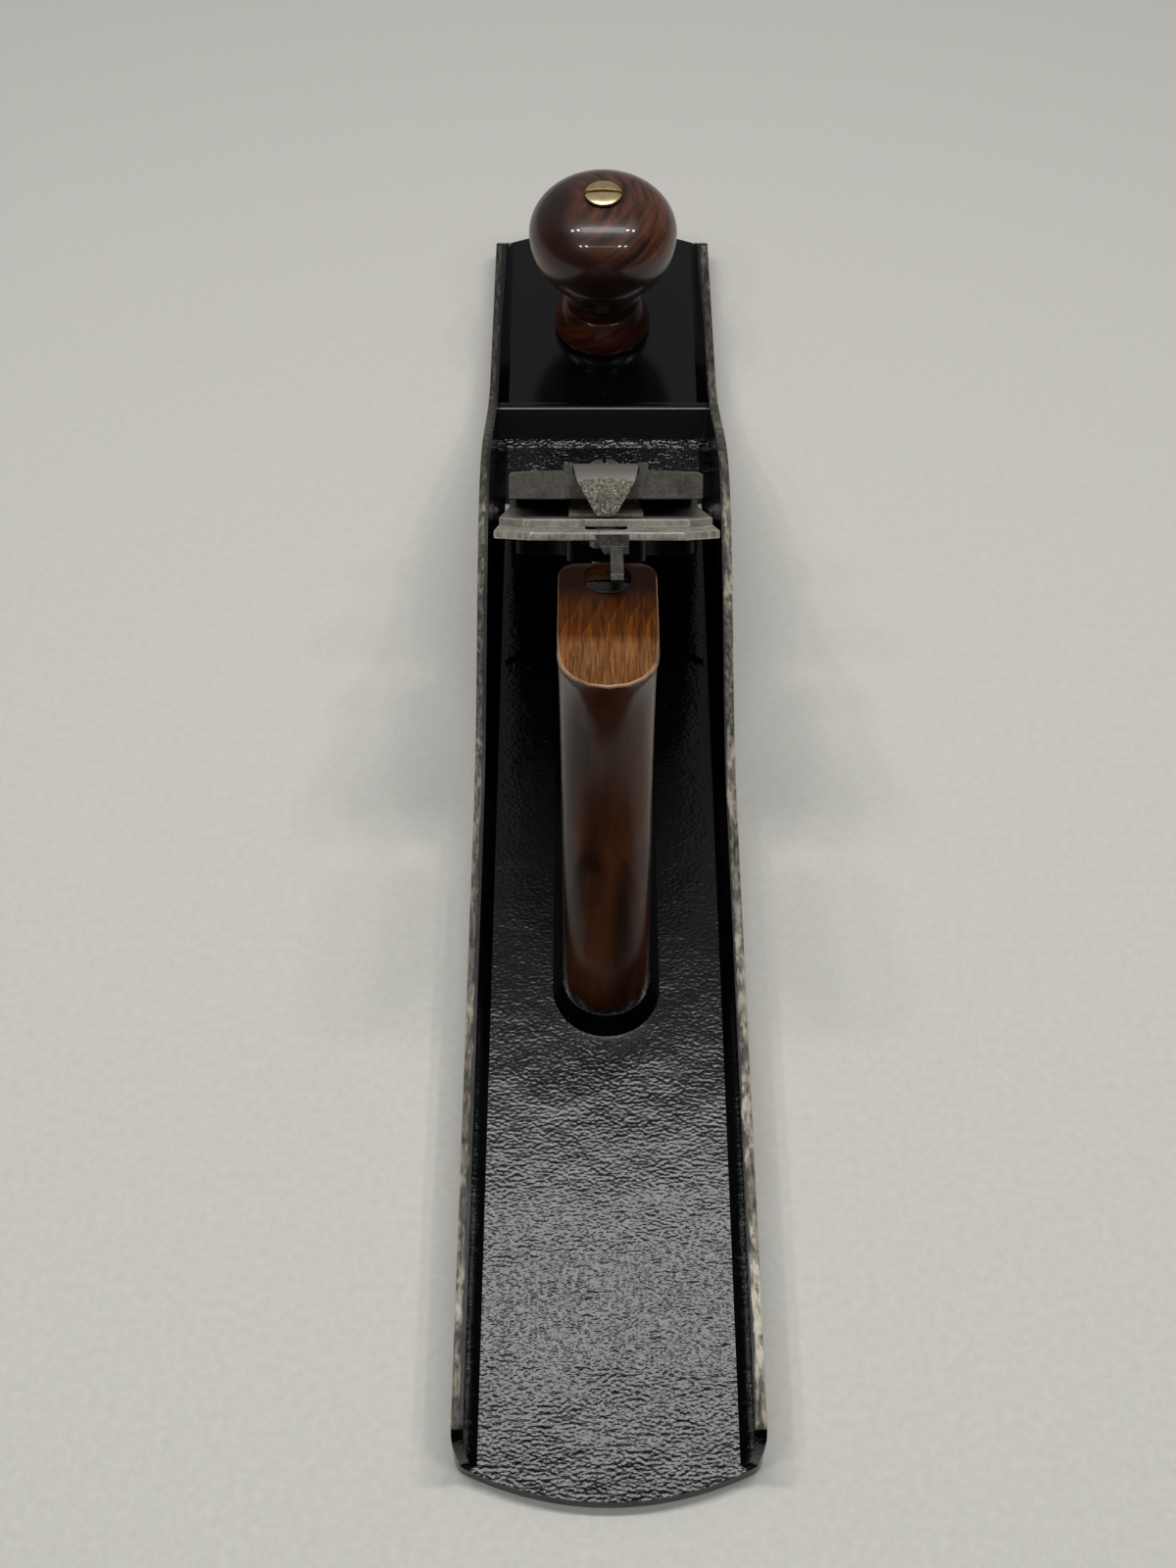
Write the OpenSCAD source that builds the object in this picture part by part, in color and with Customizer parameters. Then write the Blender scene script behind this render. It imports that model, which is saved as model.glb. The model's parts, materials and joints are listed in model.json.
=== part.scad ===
// A metal fore plane: an iron body with a heel and a toe, a frog that carries the iron at
// its pitch, and a knob and a tote of wood. +Y runs towards the toe and +Z is up.
// The origin lies on the sole, at the centre of the body's length and width.

/* [Body] */
// Length of the body, from heel to toe
body_len = 457.2; // [450:0.2:470]
// Width of the body over the side walls
body_w = 75.4; // [75:0.2:80]
// Radius of the curved heel and toe in plan
end_r = 80; // [70:1:110]
// Radius of the body's corners in plan
corner_r = 5; // [3:0.5:8]
// Thickness of the sole
floor_t = 4.4; // [4:0.1:5.5]
// Thickness of the side walls at their top
wall_t = 2.9; // [2.4:0.1:3.2]
// How far the thick foot of a wall reaches over the sole
wall_foot_w = 3; // [2:0.1:3.6]
// Height of that foot above the sole
wall_foot_h = 8; // [5:0.5:9]
// Height of the walls along the heel
heel_wall_h = 16.8; // [15:0.2:19]
// Height of the walls at the humps
hump_h = 47.3; // [42:0.5:52]
// Height of the walls in front of the humps
fore_wall_h = 14.2; // [13:0.2:17]
// Height of the walls at the toe
toe_wall_h = 9; // [8:0.2:11]
// Distance from the toe to the cutting edge
mouth_from_toe = 132.9; // [130:0.1:136]
// Width of the mouth
mouth_w = 64; // [63.6:0.2:66]
// Gap in front of the cutting edge
mouth_gap = 2.7; // [2.6:0.1:4]
// Height of the cross rib in front of the mouth
rib_h = 11; // [9:0.2:13]
// Width of the rib's slope down to the mouth
rib_slope_w = 12.5; // [11:0.5:14]

/* [Frog seat] */
// Height of the rear pads that the frog rests on
seat_h = 9.5; // [9:0.1:11]
// Height of the front pad, by the mouth
seat_front_h = 7; // [6.4:0.1:7.6]
// Distance from the cutting edge back to the rear of the frog
frog_depth = 62.7; // [62:0.1:64]
// Distance from the cutting edge back to the frog screws
frog_screw_back = 45.7; // [45:0.1:46.4]
// Distance between the two frog screws
frog_screw_span = 33; // [32:0.5:35]
// Diameter of the frog screws
frog_screw_d = 6; // [5:0.1:6.4]
// Diameter of the frog screws' heads
frog_screw_head_d = 10.5; // [9.5:0.1:11]
// Diameter of the washers under them
washer_d = 12; // [11.4:0.1:12.4]
// Thickness of the washers
washer_t = 1.2; // [0.8:0.1:1.6]
// How far forward the frog can be set
frog_travel = 1.6; // [1:0.1:1.8]

/* [Frog] */
// Angle of the bed that the iron lies on
bed_angle = 45; // [45:0.5:46]
// Width of the frog
frog_w = 52; // [50:0.5:54]
// Thickness of the frog's bed plate
plate_t = 7; // [6:0.2:7.4]
// Thickness of the frog's base, webs and rear wall
web_t = 4; // [3:0.2:4.6]
// Width of the tongue at the frog's top
tongue_w = 21.5; // [20.5:0.5:24]
// Distance up the bed to where the frog starts to narrow
shoulder_s = 86; // [85:0.5:88]
// Distance up the bed to the end of the tongue
tongue_s = 122; // [120:0.5:125]

/* [Iron and cap iron] */
// Width of the iron
iron_w = 60.3; // [58:0.1:60.8]
// Thickness of the iron
iron_t = 2.1; // [1.8:0.1:2.4]
// Distance up the bed to the iron's top end
iron_end_s = 146; // [140:1:149]
// Height of the cutting edge above the sole as stored
edge_lift = 0.3; // [0.1:0.1:0.5]
// Bevel of the cutting edge
bevel_angle = 25; // [20:1:35]
// Width of the slot in the iron
iron_slot_w = 11.5; // [11.3:0.1:12.2]
// Width of the iron's clipped corners
clip_w = 10; // [6:0.5:12]
// Width of the cap iron's clipped corners
cap_clip_w = 7; // [5:0.5:12]
// Length of the clipped corners
clip_len = 12; // [6:0.5:16]
// Width of the cap iron
cap_w = 60; // [58:0.1:60.6]
// Thickness of the cap iron
cap_t = 2; // [1.6:0.1:2.2]
// Distance up the bed to the cap iron's top end
cap_end_s = 114; // [110:0.5:118]
// Height of the cap iron's hump above the iron
cap_hump_h = 3.9; // [3.4:0.1:4.2]
// Distance up the bed to the screw that joins iron and cap iron
cap_screw_s = 72; // [71:0.5:73]
// Diameter of that screw's thread
cap_screw_d = 8; // [7:0.2:9]
// Diameter of that screw's head
cap_screw_head_d = 19; // [17:0.5:19.4]
// Thickness of that screw's head
cap_screw_head_t = 2.8; // [2.2:0.1:3.4]
// How far the iron can be drawn back up the bed
depth_back = 1.2; // [0.8:0.1:1.2]
// How far the iron can be pushed out past its stored place
depth_out = 0.8; // [0.5:0.1:1]

/* [Lever cap] */
// Width of the lever cap at its lower lip
lever_cap_lip_w = 57; // [55:0.5:58.5]
// Width of the lever cap at its top end
lever_cap_end_w = 54.2; // [52:0.2:57]
// Distance up the bed to the lip
lip_s = 7; // [6:0.5:8]
// Distance up the bed to the lever cap's top end
lever_cap_end_s = 104; // [103:0.5:105]
// Height of the top end's upper edge above the iron
lever_cap_end_p = 15.2; // [14.8:0.1:15.6]
// Height of that end's lower edge above the iron
lever_cap_under_p = 7.4; // [7:0.1:7.8]
// Thickness of the lever cap's shell
lever_cap_t = 3.6; // [3:0.1:4]
// Width of the hump that holds the cam lever
hump_w = 23.6; // [23:0.1:25]
// Height of the hump above the iron
hump_p = 17.1; // [16.8:0.1:17.6]
// Distance up the bed to the lever cap screw
lever_screw_s = 48; // [47:0.5:49]
// Diameter of the lever cap screw
lever_screw_d = 6; // [5:0.1:6.4]
// Diameter of the lever cap screw's head
lever_screw_head_d = 11.6; // [11:0.2:12.4]
// Height of the lever cap screw's top above the iron
lever_screw_top_p = 17.5; // [16.5:0.1:18.5]
// How far the lever cap slides up to come off its screw
lever_cap_travel = 9; // [8:0.5:10]
// Distance up the bed to the cam pin
cam_s = 94; // [93.5:0.5:94.5]
// Height of the cam pin above the iron
cam_p = 10.6; // [10.4:0.1:10.8]
// Radius of the cam
cam_r = 4.8; // [4.4:0.1:4.9]
// How far the cam stands off the middle of its pin
cam_throw = 0.6; // [0.3:0.1:0.8]
// Diameter of the cam pin
cam_pin_d = 3; // [2.4:0.1:3.4]
// Width of the cam lever
cam_lever_w = 18.3; // [17.5:0.1:18.6]
// Width of the cam lever at its rounded tip
cam_tip_w = 8.2; // [7:0.2:9.4]
// Thickness of the lever cap's flat spring
spring_t = 1; // [0.8:0.1:1]
// Width of the flat spring
spring_w = 20.8; // [18:0.2:22]

/* [Adjusters] */
// Distance up the bed to the yoke's tip
yoke_s = 90; // [89.5:0.5:90.5]
// Depth of the yoke's pin below the iron's face
yoke_pin_depth = 14; // [13.8:0.1:14.2]
// Diameter of the yoke's pin
yoke_pin_d = 3; // [2.4:0.1:3]
// Distance from the yoke's pin to the depth wheel's axis
yoke_arm = 17.5; // [17.4:0.1:18]
// Tilt of the depth stud, rising to the rear
stud_tilt = 20; // [18:0.5:21]
// Diameter of the depth stud
stud_d = 7; // [6:0.2:8]
// Diameter of the depth wheel
wheel_d = 27; // [25:0.5:27]
// Diameter of the depth wheel's groove
wheel_groove_d = 14.4; // [13:0.2:15]
// Width of the depth wheel's groove
wheel_groove_w = 5.8; // [5.6:0.1:6]
// Distance up the bed to the lateral lever's pivot
lateral_s = 112; // [112:0.5:113]
// Distance from that pivot down to the roller disc
lateral_arm = 5; // [4:0.5:5]
// Width of the lateral lever's strip
lateral_w = 9.2; // [8:0.2:9.6]
// Thickness of the lateral lever's strip
lateral_t = 1.5; // [1.2:0.1:1.6]
// How far the lateral lever's folded end stands beyond the iron's top end
lateral_over = 5.2; // [5:0.1:6]
// Thickness of the lateral lever's thumb fin
fin_t = 3.2; // [2.4:0.1:4]
// How far the thumb fin stands to the right of the middle
fin_x = 2.4; // [0:0.1:3]
// Diameter of the roller disc
disc_d = 11.2; // [10.8:0.1:11.2]
// Height of the frog adjusting screw above the sole
adjuster_z = 12.5; // [12:0.1:12.8]
// Diameter of the frog adjusting screw
adjuster_d = 5; // [4.4:0.1:5.4]
// Diameter of the frog adjusting screw's head and collar
adjuster_head_d = 9.5; // [8.6:0.1:10]

/* [Knob] */
// Distance from the toe to the knob's axis
knob_from_toe = 49.1; // [48:0.1:56]
// Height of the wooden knob
knob_h = 55.6; // [50:0.2:60]
// Largest diameter of the knob
knob_d = 49.4; // [46:0.2:52]
// Diameter of the knob's foot
knob_foot_d = 33; // [30:0.5:34]
// Diameter of the knob's neck
knob_neck_d = 25; // [23:0.5:27]
// Diameter of the raised boss under the knob
knob_boss_d = 16; // [14:0.5:18]
// Height of that boss above the sole
knob_boss_h = 4.6; // [4:0.2:6]

/* [Tote] */
// Distance from the cutting edge back to the tote's heel
tote_back = 193.7; // [193:0.1:196]
// Length of the tote's foot
tote_len = 118; // [116:0.5:119]
// Height of the tote above its boss
tote_h = 101; // [99:0.5:103]
// Thickness of the tote at its top
tote_top_w = 25.4; // [24:0.2:27]
// Thickness of the tote at its foot
tote_foot_w = 23.2; // [22:0.2:23.8]
// Roundness of the tote's grip
grip_round = 10.5; // [8:0.5:11]
// Roundness in plan of the tote's horn
horn_round = 12; // [9:0.5:12]
// Roundness in plan of the tote's top at the front
nose_round = 4; // [2:0.5:5]
// Roundness in plan of the tote's foot
foot_round = 10.5; // [8:0.5:11]
// Height above the sole of the boss that the tote stands on
tote_boss_h = 11; // [10:0.2:12]
// Width of that boss at its top
tote_boss_w = 23.8; // [23.8:0.2:26]
// Width of that boss at its foot
tote_boss_foot_w = 29.5; // [28:0.5:31]
// Lean of the tote's rod, forward as it rises
rod_lean = 24; // [23:0.5:28]
// Distance from the tote's heel forward to its nut, at the top
tote_nut_fwd = 73.4; // [70:0.1:74]

/* [Rods, nuts and screws] */
// Diameter of the knob's and the tote's rods
rod_d = 5.6; // [5:0.1:6.2]
// Diameter of the brass nuts
nut_d = 12.2; // [11.4:0.1:12.6]
// Height of the brass nuts
nut_h = 8; // [7:0.5:9]
// Width of the screwdriver slots
slot_w = 1.4; // [1:0.1:1.6]
// Depth of the screwdriver slots
slot_depth = 1.4; // [1:0.1:1.6]
// Diameter of the tote's toe screw
toe_screw_d = 5; // [4.4:0.1:5.4]
// Diameter of the toe screw's head
toe_screw_head_d = 9.4; // [8.6:0.1:10]
// Distance from the tote's toe end back to its screw
toe_screw_back = 12; // [11:0.5:13]

/* [Clearances] */
// Radial clearance of a thread or a turning fit
fit_gap = 0.05; // [0.03:0.01:0.08]
// Clearance between faces that pass each other
free_gap = 0.3; // [0.25:0.05:0.35]

/* [Hidden] */
$fn = 64;
far = 200;

// Places along the body
toe_y = body_len / 2;
heel_y = -body_len / 2;
edge_y = toe_y - mouth_from_toe;
inner_half = body_w / 2 - wall_t;
frog_rear_y = edge_y - frog_depth;
frog_screw_y = edge_y - frog_screw_back;
knob_y = toe_y - knob_from_toe;
tote_heel_y = edge_y - tote_back;
tote_toe_y = tote_heel_y + tote_len;
toe_screw_y = tote_toe_y - toe_screw_back;

// The bed's own frame: x across, y up the slope from the sole (s) and z square to it (p),
// with p = 0 on the iron's upper face
module bed() {
    translate([0, edge_y, 0]) rotate([bed_angle, 0, 180]) children();
}
function bed_y(z, p) = edge_y - z / tan(bed_angle) + p / sin(bed_angle);
function on_bed(s, p) = [0, edge_y - s * cos(bed_angle) + p * sin(bed_angle),
    s * sin(bed_angle) + p * cos(bed_angle)];

// A side outline drawn as [y, z], given a width across
module across(w) {
    rotate([90, 0, 90]) linear_extrude(w, center = true) children();
}
module at_sides(x) {
    for (side = [-1, 1]) translate([side * x, 0, 0]) children();
}
// A slot with round ends, running back from the origin
module long_hole(d, back, h) {
    cylinder(d = d, h = h);
    translate([0, -back, 0]) cylinder(d = d, h = h);
    translate([-d / 2, -back, 0]) cube([d, back, h]);
}
// The screwdriver slot of a head whose top is at z = 0
module driver_slot(d) {
    translate([-d, -slot_w / 2, -slot_depth]) cube([2 * d, slot_w, far]);
}
function smooth(t) = let (u = min(max(t, 0), 1)) u * u * (3 - 2 * u);
function mix(a, b, t) = a + (b - a) * t;
function arc(c, r, a0, a1, n) = [for (i = [0:n]) let (a = mix(a0, a1, i / n))
    [c[0] + r * cos(a), c[1] + r * sin(a)]];
function flip(points) = [for (i = [len(points) - 1:-1:0]) points[i]];
function mirror_x(points) = [for (q = flip(points)) [-q[0], q[1]]];
function mirror_y(points) = [for (q = flip(points)) [q[0], -q[1]]];

// Plan of the body: straight sides, curved ends and rounded corners
corner_x = body_w / 2 - corner_r;
end_c = toe_y - end_r;
corner_c = end_c + sqrt(pow(end_r - corner_r, 2) - corner_x * corner_x);
corner_a = atan2(corner_c - end_c, corner_x);
toe_right = concat(arc([corner_x, corner_c], corner_r, 0, corner_a, 6),
    arc([0, end_c], end_r, corner_a + 2, 90, 8));
toe_plan = concat(toe_right, [for (i = [1:len(toe_right) - 1])
    let (q = mirror_x(toe_right)[i]) q]);
body_plan = concat(toe_plan, mirror_y(toe_plan));

// Side outline of the walls: low at the heel, up to the hump and down to the toe
hump_y = edge_y - 32;
hump_rise = 97;
hump_fall = 82;
heel_drop = 6.5;
wall_end = corner_c + corner_r * 0.75;
function wall_top(y) =
    y < hump_y ? mix(heel_wall_h, hump_h, smooth((y - hump_y + hump_rise) / hump_rise))
    : mix(hump_h, mix(fore_wall_h, toe_wall_h, min(max((y - hump_y - hump_fall) / 60, 0), 1)),
        smooth((y - hump_y) / hump_fall));
function end_drop(y) = let (d = min(max((abs(y) - wall_end + heel_drop) / heel_drop, 0), 1))
    sqrt(1 - d * d);
function wall_z(y) = floor_t + (wall_top(y) - floor_t) * end_drop(y);
wall_ys = concat([for (i = [0:6]) -wall_end + heel_drop * (1 - cos(i * 15))],
    [for (i = [1:56]) mix(-wall_end + heel_drop, wall_end - heel_drop, i / 57)],
    [for (i = [6:-1:0]) wall_end - heel_drop * (1 - cos(i * 15))]);
wall_outline = concat([[-wall_end, 0]], [for (y = wall_ys) [y, wall_z(y)]], [[wall_end, 0]]);
wall_section = [[body_w / 2, 0], [body_w / 2, hump_h + 1], [inner_half, hump_h + 1],
    [inner_half, floor_t + wall_foot_h], [inner_half - wall_foot_w * 0.35, floor_t + wall_foot_h * 0.4],
    [inner_half - wall_foot_w, floor_t], [inner_half - wall_foot_w, 0]];

module body_walls() {
    intersection() {
        linear_extrude(hump_h + 2) polygon(body_plan);
        across(body_w) polygon(wall_outline);
        union() {
            along_body() polygon(wall_section);
            along_body() polygon(mirror_x(wall_section));
        }
    }
}
module along_body() {
    rotate([90, 0, 0]) linear_extrude(body_len, center = true) children();
}

// The rib in front of the mouth, with its slope down to the mouth
rib_foot_y = edge_y + 23.9;
rib_crest_y = rib_foot_y + rib_slope_w;
rib_outline = [[rib_foot_y, floor_t - 1], [rib_foot_y, floor_t],
    [rib_crest_y - 1, rib_h - 0.4], [rib_crest_y, rib_h], [rib_crest_y + 1.6, rib_h],
    [rib_crest_y + 2.6, rib_h - 0.5], [rib_crest_y + 7, floor_t], [rib_crest_y + 7, floor_t - 1]];

// The frog's seat: a low platform, two rear pads, a front pad and the thread block between
platform_h = 6.2;
platform_plan = [[-30.5, frog_rear_y - 5], [-18.5, frog_rear_y + 3], [18.5, frog_rear_y + 3],
    [30.5, frog_rear_y - 5], [30.5, edge_y - 12], [-30.5, edge_y - 12]];
channel_half = 7.2;
block_y0 = frog_rear_y + 5;
block_y1 = frog_rear_y + 17;
block_h = adjuster_z + 4.6;
front_pad_y0 = edge_y - 31.7;
module frog_seat() {
    linear_extrude(platform_h) polygon(platform_plan);
    at_sides((frog_w / 2 + channel_half + 1) / 2)
        translate([-(frog_w / 2 - channel_half - 1) / 2, frog_rear_y, 0])
        cube([frog_w / 2 - channel_half - 1, 26, seat_h]);
    across(frog_w) polygon([[front_pad_y0, 0], [front_pad_y0, seat_front_h],
        [bed_y(seat_front_h, -iron_t) - free_gap, seat_front_h],
        [bed_y(0, -iron_t) - free_gap, 0]]);
    translate([-channel_half + 1.2, block_y0, 0])
        cube([2 * (channel_half - 1.2), block_y1 - block_y0, block_h]);
}

// The tote's boss: a long pad with sloping sides and round ends
boss_rear_y = tote_heel_y + tote_boss_w / 2 - 1.6;
boss_front_y = tote_toe_y - tote_boss_w / 2 + 1.4;
module tote_boss() {
    boss_section = [[-tote_boss_foot_w / 2, 0], [tote_boss_foot_w / 2, 0],
        [tote_boss_foot_w / 2, floor_t], [tote_boss_w / 2, tote_boss_h],
        [-tote_boss_w / 2, tote_boss_h], [-tote_boss_foot_w / 2, floor_t]];
    translate([0, (boss_front_y + boss_rear_y) / 2, 0]) rotate([90, 0, 0])
        linear_extrude(boss_front_y - boss_rear_y, center = true) polygon(boss_section);
    for (y = [boss_rear_y, boss_front_y]) translate([0, y, 0]) rotate_extrude()
        polygon([[0, 0], [tote_boss_foot_w / 2, 0], [tote_boss_foot_w / 2, floor_t],
            [tote_boss_w / 2, tote_boss_h], [0, tote_boss_h]]);
}

// The mouth is open from the frog's bed forward, and widens upwards
mouth_back_p = -iron_t - 0.5;
mouth_outline = [[bed_y(-2, mouth_back_p), -2], [edge_y + mouth_gap, -2],
    [edge_y + mouth_gap + 0.4, floor_t], [edge_y + mouth_gap + 0.4, hump_h], [bed_y(hump_h, mouth_back_p), hump_h]];

// The tote's side outline as shares of its foot's length and its height
tote_back_points = [
    [0, 0], [0.001, 0.025], [0.006, 0.054], [0.019, 0.094], [0.042, 0.149], [0.076, 0.208],
    [0.119, 0.272], [0.169, 0.347], [0.22, 0.421], [0.267, 0.5], [0.305, 0.584], [0.332, 0.668],
    [0.347, 0.752], [0.347, 0.832], [0.324, 0.906], [0.288, 0.965], [0.275, 0.997]];
tote_front_points = [
    [1, 0], [1, 0.03], [0.988, 0.072], [0.953, 0.107], [0.881, 0.135], [0.788, 0.158], [0.695, 0.19],
    [0.614, 0.244], [0.564, 0.317], [0.547, 0.406], [0.556, 0.505], [0.585, 0.604], [0.625, 0.703],
    [0.669, 0.797], [0.692, 0.867], [0.681, 0.907], [0.657, 0.922]];
function spline_at(p, i, t) = let (n = len(p) - 1, a = p[max(i - 1, 0)], b = p[i],
    c = p[min(i + 1, n)], d = p[min(i + 2, n)])
    0.5 * ((2 * b) + (c - a) * t + (2 * a - 5 * b + 4 * c - d) * t * t
        + (3 * b - a - 3 * c + d) * t * t * t);
function spline(p, n) = concat([for (i = [0:len(p) - 2]) for (k = [0:n - 1]) spline_at(p, i, k / n)],
    [p[len(p) - 1]]);
function sized(points) = [for (q = points) [q[0] * tote_len, q[1] * tote_h]];
tote_back_line = sized(spline(tote_back_points, 2));
tote_front_line = sized(spline(tote_front_points, 2));
tote_outline = concat(tote_back_line, flip(tote_front_line));
tote_n = len(tote_outline);

// The tote's rod leans forward as it rises to the nut in the tote's top
rod_bottom = 2.4;
nut_recess = 1.2;
tote_nut_y = tote_heel_y + tote_nut_fwd;
tote_top_rear = sized(tote_back_points)[len(tote_back_points) - 1];
tote_top_front = sized(tote_front_points)[len(tote_front_points) - 1];
tote_nut_z = tote_boss_h + mix(tote_top_rear[1], tote_top_front[1],
    (tote_nut_fwd - tote_top_rear[0]) / (tote_top_front[0] - tote_top_rear[0]));
module tote_axis() {
    translate([0, tote_nut_y, tote_nut_z]) rotate([-rod_lean, 0, 0]) children();
}
tote_rod_len = (tote_nut_z - rod_bottom) / cos(rod_lean);

module body() color([0.09, 0.09, 0.11]) difference() {
    union() {
        linear_extrude(floor_t) polygon(body_plan);
        body_walls();
        across(2 * inner_half) polygon(rib_outline);
        frog_seat();
        tote_boss();
        translate([0, knob_y, 0]) cylinder(d = knob_boss_d, h = floor_t + knob_boss_h);
    }
    across(mouth_w) polygon(mouth_outline);
    translate([0, knob_y, rod_bottom]) cylinder(d = rod_d + 2 * fit_gap, h = far);
    at_sides(frog_screw_span / 2) translate([0, frog_screw_y, rod_bottom])
        cylinder(d = frog_screw_d + 2 * fit_gap, h = far);
    translate([0, toe_screw_y, rod_bottom]) cylinder(d = toe_screw_d + 2 * fit_gap, h = far);
    translate([0, block_y0 - 1, adjuster_z]) rotate([-90, 0, 0])
        cylinder(d = adjuster_d + 2 * fit_gap, h = block_y1 - block_y0 + 2);
    tote_axis() translate([0, 0, -tote_rod_len]) cylinder(d = rod_d + 2 * fit_gap, h = far);
}

// The knob, turned: a foot, a neck with a bead, and a flattened ball
knob_r = knob_d / 2;
foot_r = knob_foot_d / 2;
neck_r = knob_neck_d / 2;
ball_z = knob_h * 0.725;
knob_outline = concat(
    [[rod_d / 2 + free_gap, 0], [foot_r - 0.8, 0], [foot_r, 1.2], [foot_r, 3],
        [foot_r - 0.5, 5.4], [foot_r - 2.1, 8.6], [neck_r + 0.8, 10.6], [neck_r, 11],
        [neck_r - 0.2, 13.4], [neck_r, 15.8], [neck_r + 1, 16.4], [neck_r + 1.7, 17.6]],
    [for (i = [0:8]) let (a = mix(-62, 0, i / 8)) [knob_r * pow(cos(a), 0.9), ball_z + 22 * sin(a)]],
    [for (i = [1:9]) let (a = mix(0, 78, i / 9))
        [knob_r * pow(cos(a), 0.8), ball_z + (knob_h - ball_z) * sin(a) / sin(78)]],
    [[rod_d / 2 + free_gap, knob_h]]);
module knob() color([0.3, 0.12, 0.08]) translate([0, knob_y, floor_t]) difference() {
    rotate_extrude() polygon(knob_outline);
    translate([0, 0, -1]) cylinder(d = knob_boss_d + 2 * free_gap, h = knob_boss_h + 1 + free_gap);
    translate([0, 0, knob_h - nut_h + 1]) cylinder(d = nut_d + 2 * fit_gap, h = nut_h);
}
module knob_rod() color([0.6, 0.6, 0.6]) translate([0, knob_y, rod_bottom])
    cylinder(d = rod_d, h = floor_t + knob_h - rod_bottom - 2.4);

// A brass nut whose flat top is at z = 0, with a domed crown, a slot and a blind thread
module brass_nut(dome) {
    difference() {
        union() {
            translate([0, 0, -nut_h]) cylinder(d = nut_d, h = nut_h);
            rotate_extrude() polygon(concat([[0, -0.1], [nut_d / 2, -0.1]],
                [for (i = [0:6]) [nut_d / 2 * cos(i * 15), dome * sin(i * 15)]]));
        }
        translate([0, 0, dome]) driver_slot(nut_d);
        translate([0, 0, -nut_h - 1]) cylinder(d = rod_d + 2 * fit_gap, h = nut_h - 1.4);
    }
}
module knob_nut() color([0.8, 0.65, 0.3])
    translate([0, knob_y, floor_t + knob_h + 1]) brass_nut(1.2);

function at_turn(i) = tote_outline[(i + tote_n) % tote_n];
function inward(i) = let (d = at_turn(i + 1) - at_turn(i - 1)) [d[1], -d[0]] / norm(d);
// The grip is rounded fully. At the top and at the foot the cheeks come in along the flat face,
// so that the horn and the heel end in a half round in plan
function is_back(i) = i < tote_n / 2;
top_line = (tote_top_front - tote_top_rear) / norm(tote_top_front - tote_top_rear);
function near_top(q) = smooth((q[1] / tote_h - 0.84) / 0.08);
function near_foot(q) = 1 - smooth((q[1] / tote_h - 0.02) / 0.12);
function rounding(i, q) = mix(mix(grip_round, is_back(i) ? horn_round : nose_round, near_top(q)),
    foot_round, near_foot(q));
function inset_way(i, q) = let (along = is_back(i) ? 1 : -1,
    d = mix(mix(inward(i), along * top_line, near_top(q)), [along, 0], near_foot(q)))
    d / norm(d);
tote_layers = [-1, -0.97, -0.88, -0.7, -0.4, 0, 0.4, 0.7, 0.88, 0.97, 1];
function tote_point(i, v) = let (q = at_turn(i), half = mix(tote_foot_w, tote_top_w, q[1] / tote_h) / 2,
    r = rounding(i, q), over = max(0, (abs(v) * half - half + r) / r),
    d = r * (1 - sqrt(max(0, 1 - over * over))), w = q + inset_way(i, q) * d)
    [v * mix(tote_foot_w, tote_top_w, w[1] / tote_h) / 2, w[0], w[1]];
module tote_solid() {
    m = len(tote_layers);
    points = [for (v = tote_layers) for (i = [0:tote_n - 1]) tote_point(i, v)];
    sides = [for (j = [0:m - 2]) for (i = [0:tote_n - 1]) let (k = (i + 1) % tote_n,
        a = j * tote_n + i, b = j * tote_n + k, c = a + tote_n, d = b + tote_n)
        for (face = [[a, b, d], [a, d, c]]) face];
    // Each cheek is a ladder of faces between the tote's back and front lines
    caps = [for (i = [0:tote_n / 2 - 2]) let (k = tote_n - 1 - i, e = (m - 1) * tote_n)
        for (face = [[i, k, k - 1], [i, k - 1, i + 1], [e + i, e + k - 1, e + k], [e + i, e + i + 1, e + k - 1]])
        face];
    translate([0, tote_heel_y, tote_boss_h]) polyhedron(points, concat(sides, caps), convexity = 6);
}
toe_screw_z = tote_boss_h + 0.158 * tote_h - 3;
module tote() color([0.34, 0.2, 0.12]) difference() {
    tote_solid();
    tote_axis() {
        translate([0, 0, -nut_h - nut_recess]) cylinder(d = nut_d + 2 * fit_gap, h = far);
        translate([0, 0, -far]) cylinder(d = rod_d + 2 * free_gap, h = far);
    }
    translate([0, toe_screw_y, 0]) cylinder(d = toe_screw_d + 2 * free_gap, h = far);
    translate([0, toe_screw_y, toe_screw_z - 2.6])
        cylinder(d = toe_screw_head_d + 2 * fit_gap, h = far);
}
module tote_rod() color([0.6, 0.6, 0.6]) tote_axis()
    translate([0, 0, -tote_rod_len]) cylinder(d = rod_d, h = tote_rod_len - 4.6);
module tote_nut() color([0.8, 0.65, 0.3]) tote_axis()
    translate([0, 0, -nut_recess]) brass_nut(0.6);
module tote_toe_screw() color([0.6, 0.6, 0.6]) translate([0, toe_screw_y, 0]) difference() {
    union() {
        translate([0, 0, rod_bottom]) cylinder(d = toe_screw_d, h = toe_screw_z - rod_bottom);
        translate([0, 0, toe_screw_z - 2.6]) cylinder(d = toe_screw_head_d, h = 2.6);
    }
    translate([0, 0, toe_screw_z]) driver_slot(toe_screw_head_d);
}

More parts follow.
